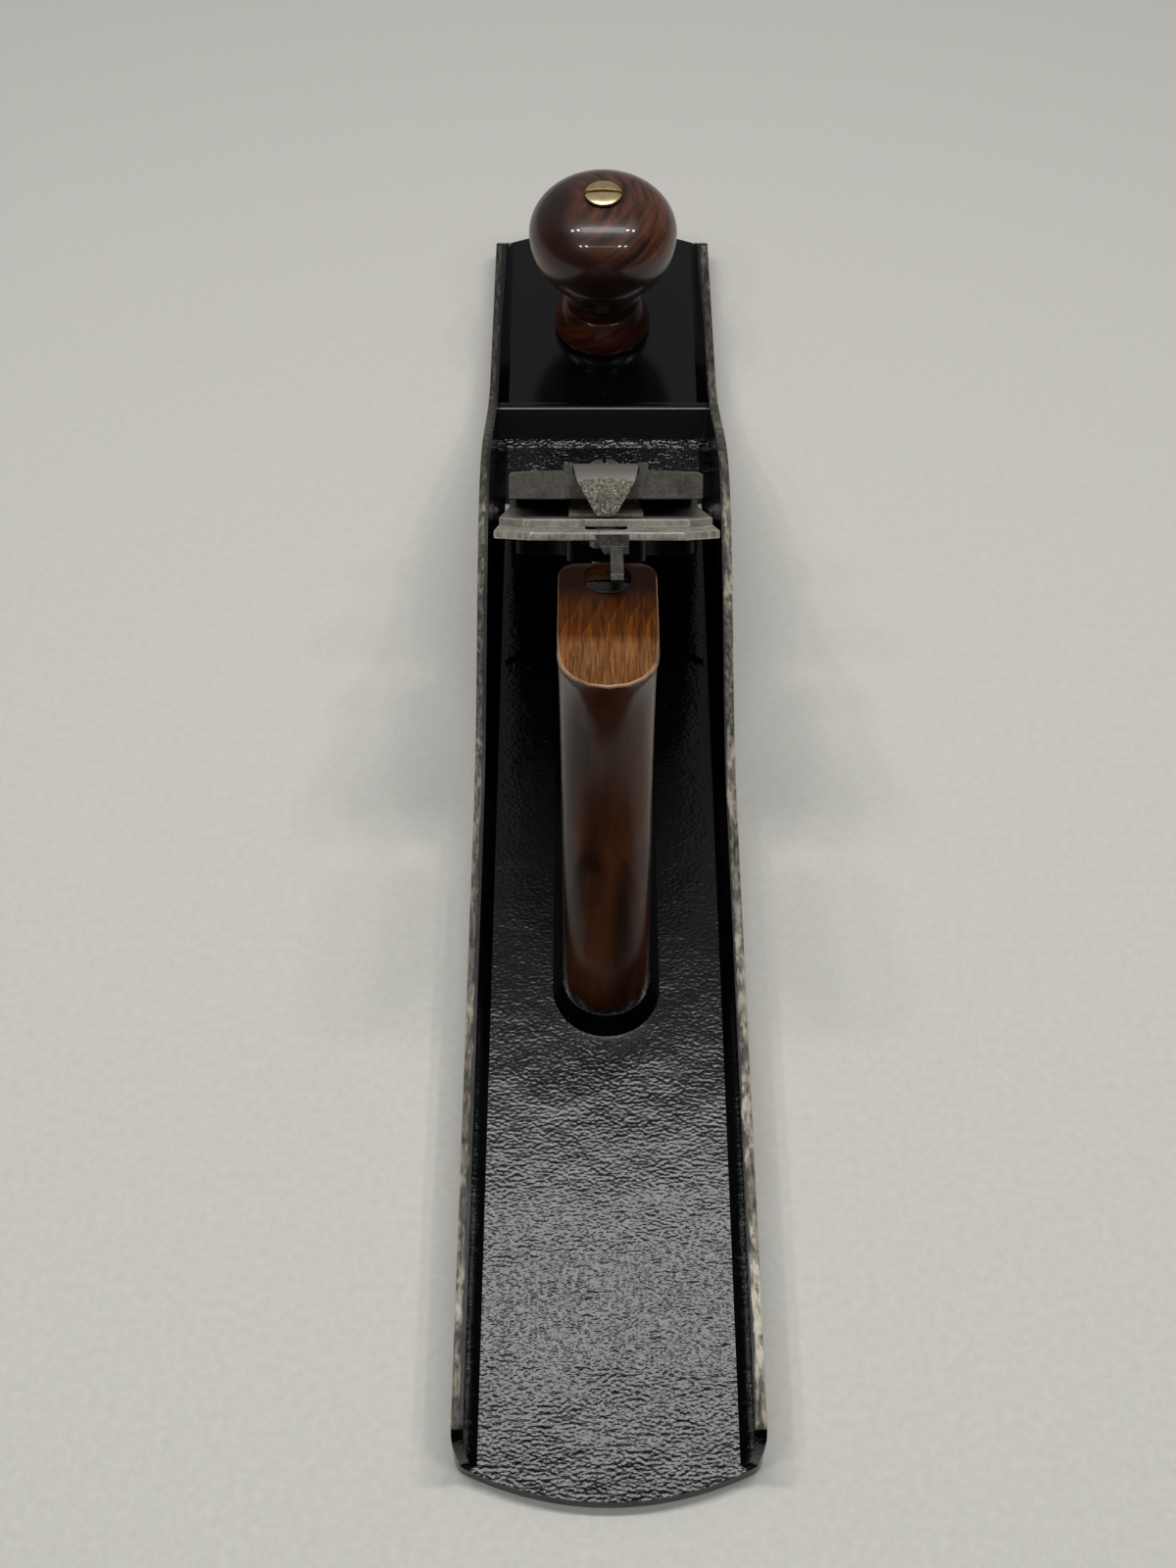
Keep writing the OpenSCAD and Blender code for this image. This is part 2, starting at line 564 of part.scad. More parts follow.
// The frog: bed plate with its tongue, base, side webs, rear wall, ears and bosses
frog_base_top = seat_h + web_t + 1;
plate_back = -iron_t - plate_t;
half_frog = frog_w / 2;
half_tongue = tongue_w / 2;
shoulder_r = 12;
frog_plan_right = concat([[half_frog, 0], [half_frog, shoulder_s - 5]],
    arc([half_frog - 5, shoulder_s - 5], 5, 0, 70, 4),
    arc([half_tongue + shoulder_r, shoulder_s + 12.5], shoulder_r, 250, 180, 6),
    arc([half_tongue - 4, tongue_s - 4], 4, 0, 90, 4));
frog_plan = concat(frog_plan_right, mirror_x(frog_plan_right));
frog_wedge = [[frog_rear_y, seat_h], [front_pad_y0 - free_gap - 3.4, seat_h],
    [front_pad_y0 - free_gap - 3.4, seat_front_h], [bed_y(seat_front_h, -iron_t), seat_front_h],
    [bed_y(tongue_s, -iron_t), tongue_s], [frog_rear_y - far, tongue_s], [frog_rear_y - far, 30],
    [frog_rear_y, 30]];
lever_boss_d = 13;
lateral_groove = 2;
lateral_room = 7;
yoke_half = 3.5;
yoke_slot_half = 4.5;
ear_in = 6.2;
ear_r = 3.3;
ear_t = 3.4;
yoke_pin_at = on_bed(yoke_s, -yoke_pin_depth);
module yoke_frame() {
    translate(yoke_pin_at) rotate([-stud_tilt, 0, 0]) children();
}
// Along the depth stud: z forward and down, from the middle of the wheel's groove
module stud_frame() {
    yoke_frame() translate([0, 0, -yoke_arm]) rotate([-90, 0, 0]) children();
}
stud_into_frog = 27;
stud_boss_from = 15;
module frog() color([0.1, 0.1, 0.12]) difference() {
    union() {
        intersection() {
            bed() translate([0, 0, plate_back]) linear_extrude(plate_t) polygon(frog_plan);
            across(frog_w) polygon(frog_wedge);
        }
        intersection() {
            across(frog_w) polygon(frog_wedge);
            union() {
                translate([-half_frog, frog_rear_y, 0]) cube([frog_w, far, frog_base_top]);
                at_sides(half_frog - web_t / 2) translate([-web_t / 2, frog_rear_y, 0])
                    cube([web_t, far, far]);
                translate([-half_frog, frog_rear_y, 0]) cube([frog_w, web_t, far]);
            }
            bed() translate([-half_frog, 0, -far]) cube([frog_w, far, far - iron_t - 1]);
        }
        intersection() {
            stud_frame() translate([0, 0, stud_boss_from])
                cylinder(d = stud_d + 5, h = stud_into_frog - stud_boss_from);
            translate([-half_frog, frog_rear_y - 5, frog_base_top - 1]) cube([frog_w, 20, 40]);
        }
        bed() translate([0, lever_screw_s, plate_back - 4]) cylinder(d = lever_boss_d, h = 5);
        at_sides(ear_in + ear_t / 2) {
            translate(yoke_pin_at) rotate([0, 90, 0]) cylinder(r = ear_r, h = ear_t, center = true);
            bed() translate([-ear_t / 2, yoke_s - ear_r + 0.5, -yoke_pin_depth])
                cube([ear_t, 2 * ear_r - 1, yoke_pin_depth + plate_back + 1]);
        }
    }
    // Room for the cap iron screw's head and for the yoke
    bed() translate([0, cap_screw_s + depth_back + free_gap, plate_back - 1])
        long_hole(cap_screw_head_d + 2 * free_gap, depth_back + depth_out + 2 * free_gap, far);
    bed() translate([-yoke_slot_half, cap_screw_s, plate_back - 1])
        cube([2 * yoke_slot_half, yoke_s + 6 - cap_screw_s, far]);
    translate(yoke_pin_at) rotate([0, 90, 0])
        cylinder(d = yoke_pin_d + 2 * fit_gap, h = far, center = true);
    // Threads of the lever cap screw and the depth stud
    bed() translate([0, lever_screw_s, -far / 2]) cylinder(d = lever_screw_d + 2 * fit_gap, h = far);
    stud_frame() cylinder(d = stud_d + 2 * fit_gap, h = stud_into_frog);
    // Slots and openings over the frog screws
    at_sides(frog_screw_span / 2) translate([0, frog_screw_y, 0]) {
        translate([0, free_gap, 0])
            long_hole(frog_screw_d + 2 * free_gap, frog_travel + 2 * free_gap, frog_base_top + 1);
        translate([0, free_gap, frog_base_top])
            long_hole(washer_d + 4 * free_gap, frog_travel + 2 * free_gap, far);
    }
    // Channel over the adjusting screw and its block, and the clip screw's thread
    translate([-channel_half, frog_rear_y - 1, 0])
        cube([2 * channel_half, block_y1 - frog_rear_y + 6, block_h + 1]);
    clip_screw_axis() cylinder(d = clip_screw_d + 2 * fit_gap, h = 12, center = true);
    // Groove of the lateral lever and the hole for its rivet
    bed() translate([-lateral_room, lateral_s - lateral_arm - 6.8, -iron_t - lateral_groove])
        cube([2 * lateral_room, far, far]);
    bed() translate([0, lateral_s, -far / 2]) cylinder(d = rivet_d + 2 * fit_gap, h = far);
}

// Frog screws and washers, fast in the body
module frog_screws() color([0.5, 0.5, 0.5]) at_sides(frog_screw_span / 2)
    translate([0, frog_screw_y, 0]) difference() {
        union() {
            translate([0, 0, rod_bottom])
                cylinder(d = frog_screw_d, h = frog_base_top + washer_t - rod_bottom + 1);
            translate([0, 0, frog_base_top + washer_t]) cylinder(d = frog_screw_head_d, h = 4);
        }
        translate([0, 0, frog_base_top + washer_t + 4]) driver_slot(frog_screw_head_d);
    }
module frog_washers() color([0.55, 0.55, 0.55]) at_sides(frog_screw_span / 2)
    translate([0, frog_screw_y, frog_base_top]) difference() {
        cylinder(d = washer_d, h = washer_t);
        translate([0, 0, -1]) cylinder(d = frog_screw_d + 2 * fit_gap, h = 4);
    }

// The screw that sets the frog, and the clip that ties it to the frog
clip_t = 1.6;
clip_screw_d = 3;
clip_screw_z = block_h + 3.6;
neck_gap = 0.2;
module clip_screw_axis() {
    translate([0, frog_rear_y, clip_screw_z]) rotate([-90, 0, 0]) children();
}
module frog_adjusting_screw() color([0.5, 0.5, 0.5])
    translate([0, frog_rear_y, adjuster_z]) rotate([-90, 0, 0]) difference() {
        union() {
            translate([0, 0, -clip_t - neck_gap - 5]) cylinder(d = adjuster_head_d, h = 5);
            translate([0, 0, -clip_t - neck_gap - 1]) cylinder(d = adjuster_d + 0.6, h = clip_t + 2);
            translate([0, 0, neck_gap]) cylinder(d = adjuster_head_d, h = 1.6);
            cylinder(d = adjuster_d, h = block_y1 - frog_rear_y + 1);
        }
        translate([0, 0, -clip_t - neck_gap - 5]) mirror([0, 0, 1]) driver_slot(adjuster_head_d);
    }
module frog_clip() color([0.55, 0.55, 0.55]) difference() {
    translate([-6, frog_rear_y - clip_t, adjuster_z - 4]) cube([12, clip_t, clip_screw_z - adjuster_z + 7.4]);
    translate([0, frog_rear_y, adjuster_z]) rotate([90, 0, 0])
        cylinder(d = adjuster_d + 0.6 + 2 * free_gap, h = 10, center = true);
    translate([-adjuster_d / 2 - 0.3 - free_gap, frog_rear_y - 5, 0])
        cube([adjuster_d + 0.6 + 2 * free_gap, 10, adjuster_z]);
    clip_screw_axis() cylinder(d = clip_screw_d + 2 * fit_gap, h = 10, center = true);
}
module clip_screw() color([0.5, 0.5, 0.5]) clip_screw_axis() difference() {
    union() {
        translate([0, 0, -clip_t]) cylinder(d = clip_screw_d, h = clip_t + web_t - 0.4);
        translate([0, 0, -clip_t - 1.6]) cylinder(d = 6, h = 1.6);
    }
    translate([0, 0, -clip_t - 1.6]) mirror([0, 0, 1]) translate([0, 0, 0.6]) driver_slot(6);
}

// Depth adjustment: the stud, the grooved brass wheel on it, and the yoke with its pin
wheel_back = 8;
wheel_front = 1.9;
stud_out = wheel_groove_w / 2 + wheel_back + 3;
module depth_stud() color([0.6, 0.6, 0.6]) stud_frame()
    translate([0, 0, -stud_out]) cylinder(d = stud_d, h = stud_out + stud_into_frog - 0.5);
module depth_wheel() color([0.8, 0.65, 0.3]) stud_frame() difference() {
    union() {
        cylinder(d = wheel_groove_d, h = wheel_groove_w + 2, center = true);
        translate([0, 0, wheel_groove_w / 2]) cylinder(d = wheel_d - 6, h = wheel_front);
        translate([0, 0, -wheel_groove_w / 2 - wheel_back]) difference() {
            cylinder(d = wheel_d, h = wheel_back);
            knurl_n = 40;
            for (i = [0:knurl_n - 1]) rotate(i * 360 / knurl_n)
                translate([wheel_d / 2 + 0.1, 0, 1.6]) rotate(45)
                cube([0.9, 0.9, 2 * (wheel_back - 3.2)], center = true);
        }
    }
    cylinder(d = stud_d + 2 * fit_gap, h = far, center = true);
}
yoke_t = 2.2;
fork_in = wheel_groove_d / 2 + 0.7;
fork_out = fork_in + 3.5;
hub_half = ear_in - free_gap;
module yoke() color([0.35, 0.35, 0.37]) difference() {
    union() {
        yoke_frame() {
            rotate([90, 0, 0]) linear_extrude(yoke_t, center = true) difference() {
                polygon([[-hub_half, 1], [hub_half, 1], [hub_half, -4.4], [fork_out, -9],
                    [fork_out, -yoke_arm - 2], [-fork_out, -yoke_arm - 2], [-fork_out, -9],
                    [-hub_half, -4.4]]);
                translate([0, -yoke_arm]) circle(r = fork_in);
                translate([-fork_in, -yoke_arm - 10]) square([2 * fork_in, 10]);
            }
            rotate([0, 90, 0]) cylinder(r = ear_r - 0.1, h = 2 * hub_half, center = true);
        }
        bed() translate([-yoke_half, yoke_s - 1.5, -yoke_pin_depth])
            cube([2 * yoke_half, 3, yoke_pin_depth + cap_t - 0.1]);
    }
    translate(yoke_pin_at) rotate([0, 90, 0])
        cylinder(d = yoke_pin_d + 2 * fit_gap, h = far, center = true);
}
module yoke_pin() color([0.6, 0.6, 0.6]) translate(yoke_pin_at) rotate([0, 90, 0])
    cylinder(d = yoke_pin_d, h = 2 * (ear_in + ear_t) + 0.6, center = true);

// Lateral adjustment: the folded lever, its rivet and its roller disc
lateral_gap = (lateral_groove - lateral_t) / 2;
lateral_front_p = -iron_t - lateral_gap;
lateral_back_p = lateral_front_p - lateral_t;
disc_s = lateral_s - lateral_arm;
disc_pin_d = 3.2;
rivet_d = 4;
lateral_end_s = iron_end_s + lateral_over;
fold_left = 3.5;
fold_right = 5.6;
fold_end_p = -5.2;
// The fin runs on rearward from the folded end, over the tote's top
fin_outline = [[lateral_end_s - 9, lateral_back_p + 0.5], [lateral_end_s - 1, lateral_back_p + 0.5],
    [lateral_end_s + 3, -4.4], [lateral_end_s + 14.8, -8.2], [lateral_end_s + 16.4, -9.4],
    [lateral_end_s + 16.6, -10.8], [lateral_end_s + 15.4, -11.6], [lateral_end_s + 13, -10.4],
    [lateral_end_s + 6, -6.9], [lateral_end_s, -4.8]];
module lateral_lever() color([0.45, 0.45, 0.45]) bed() difference() {
    union() {
        translate([0, disc_s, lateral_back_p]) cylinder(r = 5, h = lateral_t);
        translate([0, 0, lateral_back_p]) linear_extrude(lateral_t)
            polygon([[-lateral_w / 2, disc_s], [lateral_w / 2, disc_s], [lateral_w / 2, iron_end_s - 6],
                [fold_left, lateral_end_s - 1], [-fold_right, lateral_end_s - 1], [-lateral_w / 2, iron_end_s - 6]]);
        translate([0, disc_s, lateral_back_p]) cylinder(d = disc_pin_d, h = lateral_t + iron_t - 0.6);
        translate([-fin_x, 0, 0]) across(fin_t) polygon(fin_outline);
        translate([0, lateral_end_s, 0]) rotate([90, 0, 0]) linear_extrude(2)
            polygon([[-fold_right, -0.3], [fold_left, -0.3], [0.8, fold_end_p], [-fold_right, fold_end_p]]);
        translate([0, lateral_end_s + 0.9, 0]) rotate([90, 0, 0]) linear_extrude(2)
            polygon([[-fold_right, fold_end_p + 1.9], [1.9, fold_end_p + 1.9], [0.8, fold_end_p],
                [-fold_right, fold_end_p]]);
    }
    translate([0, lateral_s, lateral_back_p - 1])
        cylinder(d = rivet_d + 2 * fit_gap, h = lateral_t + 1 + fit_gap);
}
module lateral_rivet() color([0.5, 0.5, 0.5]) bed() {
    translate([0, lateral_s, plate_back - 1]) cylinder(d = rivet_d, h = lateral_front_p - plate_back + 0.9);
    translate([0, lateral_s, plate_back - 1.4]) cylinder(d = rivet_d + 4, h = 1.4);
}
module lateral_disc() color([0.55, 0.55, 0.55]) bed()
    translate([0, disc_s, lateral_front_p]) difference() {
        cylinder(d = disc_d, h = -lateral_front_p - free_gap);
        translate([0, 0, -1]) cylinder(d = disc_pin_d + 2 * fit_gap, h = 10);
    }

// The iron, bevel down, with a keyhole slot and clipped corners
edge_s = edge_lift / sin(bed_angle);
function clipped(w, s0, s1, clip) = [[-w / 2, s0], [w / 2, s0], [w / 2, s1 - clip_len],
    [w / 2 - clip, s1], [-w / 2 + clip, s1], [-w / 2, s1 - clip_len]];
slot_end_s = 126;
keyhole_d = cap_screw_head_d + 3;
module iron() color([0.6, 0.6, 0.6]) bed() difference() {
    intersection() {
        translate([0, 0, -iron_t]) linear_extrude(iron_t)
            polygon(clipped(iron_w, edge_s, iron_end_s, clip_w));
        across(iron_w) polygon([[edge_s, 0], [edge_s + iron_t / tan(bevel_angle), -iron_t],
            [far, -iron_t], [far, 0]]);
    }
    translate([0, lever_screw_s, -5]) cylinder(d = keyhole_d, h = 10);
    translate([0, slot_end_s, -5])
        long_hole(iron_slot_w, slot_end_s - lever_screw_s, 10);
}

// The cap iron: flat above, with a hump that comes down on the iron behind the edge
cap_edge_s = edge_s + 1;
cap_side = [[cap_edge_s, 0], [cap_edge_s + 2.2, 1.9], [cap_edge_s + 5.5, cap_hump_h - 0.6],
    [cap_edge_s + 10, cap_hump_h], [cap_edge_s + 15, cap_hump_h - 0.5], [cap_edge_s + 22, cap_t + 0.3],
    [cap_edge_s + 27, cap_t], [cap_end_s, cap_t], [cap_end_s, 0], [cap_edge_s + 27, 0],
    [cap_edge_s + 21, 0.4], [cap_edge_s + 15, 1.3], [cap_edge_s + 10, cap_hump_h - cap_t],
    [cap_edge_s + 6.5, 1.3], [cap_edge_s + 3, 0.2]];
module cap_iron() color([0.5, 0.5, 0.5]) bed() difference() {
    intersection() {
        linear_extrude(10) polygon(clipped(cap_w, 0, cap_end_s, cap_clip_w));
        across(cap_w) polygon(cap_side);
    }
    translate([0, lever_screw_s + 3, -5]) long_hole(lever_screw_d + 4, 8, 15);
    translate([0, cap_screw_s, -5]) cylinder(d = cap_screw_d + 2 * fit_gap, h = 15);
    translate([-yoke_half - 0.8, yoke_s - 1.5 - free_gap, -5])
        cube([2 * yoke_half + 1.6, 3 + 2 * free_gap, 15]);
}
module cap_iron_screw() color([0.5, 0.5, 0.5]) bed() translate([0, cap_screw_s, 0]) difference() {
    union() {
        translate([0, 0, -iron_t - cap_screw_head_t]) cylinder(d = cap_screw_head_d, h = cap_screw_head_t);
        translate([0, 0, -iron_t - 1]) cylinder(d = cap_screw_d, h = iron_t + cap_t + 1);
    }
    translate([0, 0, -iron_t - cap_screw_head_t]) mirror([0, 0, 1]) driver_slot(cap_screw_head_d);
}

// The lever cap: a hollow-backed casting with a keyhole and a hump that holds the cam lever
lip_under_p = cap_hump_h + free_gap;
flat_from_s = 38;
flat_p = lever_cap_end_p - 2.6;
function cap_top(s) = s > flat_from_s ? mix(flat_p, lever_cap_end_p, (s - flat_from_s) / (lever_cap_end_s - flat_from_s))
    : mix(lip_under_p + 1.2, flat_p, sin(90 * (s - lip_s) / (flat_from_s - lip_s)));
lever_cap_side = concat([[lip_s, lip_under_p]],
    [for (i = [0:7]) let (s = mix(lip_s, flat_from_s, i / 7)) [s, cap_top(s)]],
    [[lever_cap_end_s, lever_cap_end_p], [lever_cap_end_s, lever_cap_under_p], [30, lip_under_p + 1]]);
pocket_s0 = 24;
pocket_s1 = lever_cap_end_s - 3;
function pocket_top(s) = cap_top(s) - lever_cap_t;
pocket_side = [[pocket_s0, -1], [pocket_s0, pocket_top(pocket_s0)],
    [flat_from_s, pocket_top(flat_from_s)], [pocket_s1, pocket_top(pocket_s1)], [pocket_s1, -1]];
half_hump = hump_w / 2;
cam_slot_half = cam_lever_w / 2 + 0.15;
hump_from_s = cam_s - 12;
end_wall_top_p = hump_p - 2.7;
end_crown = 1.2;
half_end = lever_cap_end_w / 2;
screw_seat_p = flat_p - 1.2;
// The top end's upper edge drops a little to each side of the hump
crown_right = [for (i = [0:6]) let (x = mix(half_hump, half_end + 1, i / 6))
    [x, lever_cap_end_p - end_crown * pow((x - half_hump) / (half_end - half_hump), 1.5)]];
crown_outline = concat([[half_end + 3, -1]], [[half_end + 3, flat_p]], flip(crown_right),
    mirror_x(flip(crown_right)), [[-half_end - 3, flat_p], [-half_end - 3, -1]]);
module lever_cap() color([0.5, 0.5, 0.48]) bed() difference() {
    union() {
        intersection() {
            across(far) polygon(lever_cap_side);
            rotate([90, 0, 0]) linear_extrude(2 * far, center = true) polygon(crown_outline);
            linear_extrude(30) polygon([[-lever_cap_lip_w / 2, lip_s], [lever_cap_lip_w / 2, lip_s],
                [half_end, lever_cap_end_s], [-half_end, lever_cap_end_s]]);
        }
        across(hump_w) polygon([[hump_from_s - 8, flat_p], [hump_from_s + 2, hump_p - 1],
            [hump_from_s + 6, hump_p], [lever_cap_end_s, hump_p],
            [lever_cap_end_s, lever_cap_under_p], [hump_from_s, lever_cap_under_p]]);
    }
    difference() {
        across(lever_cap_end_w - 7) polygon(pocket_side);
        translate([-half_hump, hump_from_s + 1, -1]) cube([hump_w, far, far]);
    }
    // Room for the spring, then the cam lever's slot, which goes over the end wall above
    translate([-spring_w / 2 - free_gap, hump_from_s, -1])
        cube([spring_w + 2 * free_gap, pocket_s1 - hump_from_s + 0.4, lever_cap_under_p + 1]);
    translate([-cam_slot_half, cam_s - 8, -1]) cube([2 * cam_slot_half, lever_cap_end_s - 2.6 - cam_s + 8, far]);
    translate([-cam_slot_half, cam_s, end_wall_top_p]) cube([2 * cam_slot_half, far, far]);
    translate([0, cam_s, cam_p]) rotate([0, 90, 0])
        cylinder(d = cam_pin_d + 2 * fit_gap, h = far, center = true);
    // Keyhole, with a flat seat for the screw's head
    translate([0, lever_screw_s + free_gap, -1])
        long_hole(lever_screw_d + 2 * free_gap, lever_cap_travel, far);
    translate([0, lever_screw_s - lever_cap_travel, -1])
        cylinder(d = lever_screw_head_d + 2 * free_gap, h = far);
    translate([0, lever_screw_s + free_gap, screw_seat_p])
        long_hole(lever_screw_head_d + 2 * free_gap, lever_cap_travel + free_gap, far);
    // Hole of the spring's rivet
    translate([0, rivet_s, 0]) cylinder(d = spring_rivet_d + 2 * fit_gap, h = far);
}
module lever_cap_screw() color([0.55, 0.55, 0.55]) bed() translate([0, lever_screw_s, 0]) difference() {
    dome = 4;
    union() {
        translate([0, 0, plate_back - 3]) cylinder(d = lever_screw_d, h = screw_seat_p - plate_back + 4);
        translate([0, 0, screw_seat_p])
            cylinder(d = lever_screw_head_d, h = lever_screw_top_p - dome - screw_seat_p);
        translate([0, 0, lever_screw_top_p - dome - 0.01]) rotate_extrude() polygon(concat([[0, 0]],
            [for (i = [0:6]) [lever_screw_head_d / 2 * cos(i * 15), dome * sin(i * 15)]]));
    }
    translate([0, 0, lever_screw_top_p]) rotate(90) driver_slot(lever_screw_head_d);
}

// The flat spring lies from the lever cap's underside down to the cap iron
rivet_s = cam_s - 26;
spring_rivet_d = 3;
spring_root_p = pocket_top(rivet_s);
spring_end_s = lever_cap_end_s + 2;
spring_flat_p = cam_p - cam_throw - cam_r - free_gap - spring_t;
spring_line = [[rivet_s - 5, pocket_top(rivet_s - 5) - spring_t],
    [rivet_s + 4, pocket_top(rivet_s + 4) - spring_t], [cam_s - 4, spring_flat_p],
    [cam_s + 2.5, spring_flat_p], [spring_end_s, cap_t + free_gap]];
module lever_cap_spring() color([0.35, 0.3, 0.27]) bed() difference() {
    across(spring_w) polygon(concat(spring_line,
        flip([for (q = spring_line) [q[0], q[1] + spring_t]])));
    translate([0, rivet_s, 0]) cylinder(d = spring_rivet_d + 2 * fit_gap, h = far);
}
module spring_rivet() color([0.5, 0.5, 0.5]) bed() translate([0, rivet_s, 0]) {
    translate([0, 0, spring_root_p - spring_t - 1.15]) cylinder(d = spring_rivet_d + 2.4, h = 1);
    translate([0, 0, spring_root_p - spring_t - 0.5])
        cylinder(d = spring_rivet_d, h = cap_top(rivet_s) - spring_root_p + spring_t - 0.1);
}

// The cam lever: a cam on a pin, and a tongue that goes over the end wall and tapers down
tongue_top_p = hump_p - 0.3;
tongue_in_s = lever_cap_end_s + 0.4;
cam_side = concat([[cam_s - 2, tongue_top_p - 0.8], [cam_s - 0.5, tongue_top_p]],
    [[lever_cap_end_s - 2, tongue_top_p], [lever_cap_end_s + 0.6, tongue_top_p - 0.6],
        [lever_cap_end_s + 2.8, tongue_top_p - 2.2], [lever_cap_end_s + 4.6, tongue_top_p - 4.8],
        [lever_cap_end_s + 6, tongue_top_p - 8.4], [lever_cap_end_s + 6.7, tongue_top_p - 12.4],
        [lever_cap_end_s + 6.6, cap_t + 1], [lever_cap_end_s + 6, cap_t + free_gap + 0.2],
        [lever_cap_end_s + 5, cap_t + free_gap], [lever_cap_end_s + 3.8, cap_t + 1.4],
        [lever_cap_end_s + 3.2, cap_t + 4.6], [lever_cap_end_s + 2.2, end_wall_top_p - 3.6],
        [lever_cap_end_s + 0.5, end_wall_top_p - 0.4]],
    [[tongue_in_s, end_wall_top_p + free_gap], [cam_s + 5.4, end_wall_top_p + free_gap],
        [cam_s + 4, cam_p + 1]], [[cam_s - 4, cam_p + 1]]);
half_lever = cam_lever_w / 2;
tip_r = cam_tip_w / 2;
tongue_outline_right = concat([[half_lever, tongue_top_p + 1], [half_lever, tongue_top_p - 0.5],
    [half_lever - 1.2, tongue_top_p - 4.6]], arc([0, cap_t + free_gap + tip_r], tip_r, -20, -90, 5));
module cam_lever() color([0.55, 0.54, 0.5]) bed() difference() {
    intersection() {
        union() {
            across(cam_lever_w) polygon(cam_side);
            translate([0, cam_s, cam_p - cam_throw]) rotate([0, 90, 0])
                cylinder(r = cam_r, h = cam_lever_w, center = true);
        }
        union() {
            translate([-half_lever, 0, 0]) cube([cam_lever_w, lever_cap_end_s - 3, far]);
            rotate([90, 0, 0]) linear_extrude(far * 2, center = true)
                polygon(concat(tongue_outline_right, mirror_x(tongue_outline_right)));
        }
    }
    translate([0, cam_s, cam_p]) rotate([0, 90, 0])
        cylinder(d = cam_pin_d + 2 * fit_gap, h = far, center = true);
}
module cam_pin() color([0.6, 0.6, 0.6]) bed() translate([0, cam_s, cam_p]) rotate([0, 90, 0])
    cylinder(d = cam_pin_d, h = hump_w, center = true);

body();
knob();
knob_rod();
knob_nut();
tote();
tote_rod();
tote_nut();
tote_toe_screw();
frog();
frog_screws();
frog_washers();
frog_adjusting_screw();
frog_clip();
clip_screw();
depth_stud();
depth_wheel();
yoke();
yoke_pin();
lateral_lever();
lateral_rivet();
lateral_disc();
iron();
cap_iron();
cap_iron_screw();
lever_cap();
lever_cap_screw();
lever_cap_spring();
spring_rivet();
cam_lever();
cam_pin();
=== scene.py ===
"""The looks of a metal fore plane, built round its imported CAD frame. Metres, +Y towards the toe, +Z up."""

import json
import math

import bmesh
import bpy
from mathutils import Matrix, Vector


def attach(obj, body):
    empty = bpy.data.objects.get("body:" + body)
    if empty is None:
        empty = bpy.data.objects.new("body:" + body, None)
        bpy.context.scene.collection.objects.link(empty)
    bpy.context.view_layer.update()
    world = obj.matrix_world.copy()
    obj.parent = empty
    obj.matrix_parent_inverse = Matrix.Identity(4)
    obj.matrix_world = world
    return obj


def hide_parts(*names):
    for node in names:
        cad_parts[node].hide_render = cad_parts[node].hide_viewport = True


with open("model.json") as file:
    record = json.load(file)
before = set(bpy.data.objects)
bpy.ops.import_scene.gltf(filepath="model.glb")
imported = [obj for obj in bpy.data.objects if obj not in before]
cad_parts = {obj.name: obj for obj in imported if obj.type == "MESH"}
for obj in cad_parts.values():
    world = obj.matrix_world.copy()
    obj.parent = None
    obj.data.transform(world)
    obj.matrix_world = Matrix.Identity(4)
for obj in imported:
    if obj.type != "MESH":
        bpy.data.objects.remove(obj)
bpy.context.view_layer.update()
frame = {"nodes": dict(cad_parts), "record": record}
nodes = frame["nodes"]
body_of = {node: body for body, names in frame["record"]["behaviour"]["bodies"].items() for node in names}
scene = bpy.context.scene
MM = 0.001

# Directions: over the body's width, towards the toe, up, and out of the bed that carries the iron
ACROSS = (1, 0, 0)
FORWARD = (0, 1, 0)
UP = (0, 0, 1)
BED_NORMAL = (0, math.sqrt(0.5), math.sqrt(0.5))

# Sizes of the part, in millimetres
BODY_W = 75.4
WALL_T = 2.9
WALL_END_Y = 215.5
FLOOR_T = 4.4
EDGE_Y = 95.7
KNOB_Y = 179.5
KNOB_H = 55.6
KNOB_R = 24.7
FOOT_R = 16.5
NECK_R = 12.5
ROD_R = 2.8
NUT_R = 6.1
NUT_H = 8.0
NUT_SLOT_Z = 61.0
TOTE_NUT = (0, -24.6, 106)
UNWORN_R = 8.5
HORN_Y = -45

# The tote's flat top has this height over the origin, and falls by this much for each length of the same
TOTE_TOP_Z = 100.0
TOTE_TOP_FALL = 0.169

# Numbers of the casting's materials, and of the worn edge on the other pieces
INSIDE, BARE_FACE, RUBBED_EDGE = 0, 1, 2
WORN_EDGE = 1

# Numbers of the colour sockets on a Mix node, which has others by the same names
MIX_BELOW, MIX_ABOVE, MIX_RESULT = 6, 7, 2

# Camera, fitted to the photograph: above and behind the heel, looking down along +Y
camera_data = bpy.data.cameras.new("camera")
camera_data.lens = 49.39
camera_data.sensor_width = 36
camera = bpy.data.objects.new("camera", camera_data)
camera.location = (-0.005, -0.387, 0.5228)
camera.rotation_euler = (math.radians(35.46), 0, 0)
scene.collection.objects.link(camera)
scene.camera = camera
scene.view_settings.view_transform = "Standard"


def colour(hex_code):
    """A colour written as sRGB hex, in the linear values that a shader takes."""
    parts = [int(hex_code[i : i + 2], 16) / 255 for i in (0, 2, 4)]
    return [c / 12.92 if c <= 0.04045 else ((c + 0.055) / 1.055) ** 2.4 for c in parts] + [1]


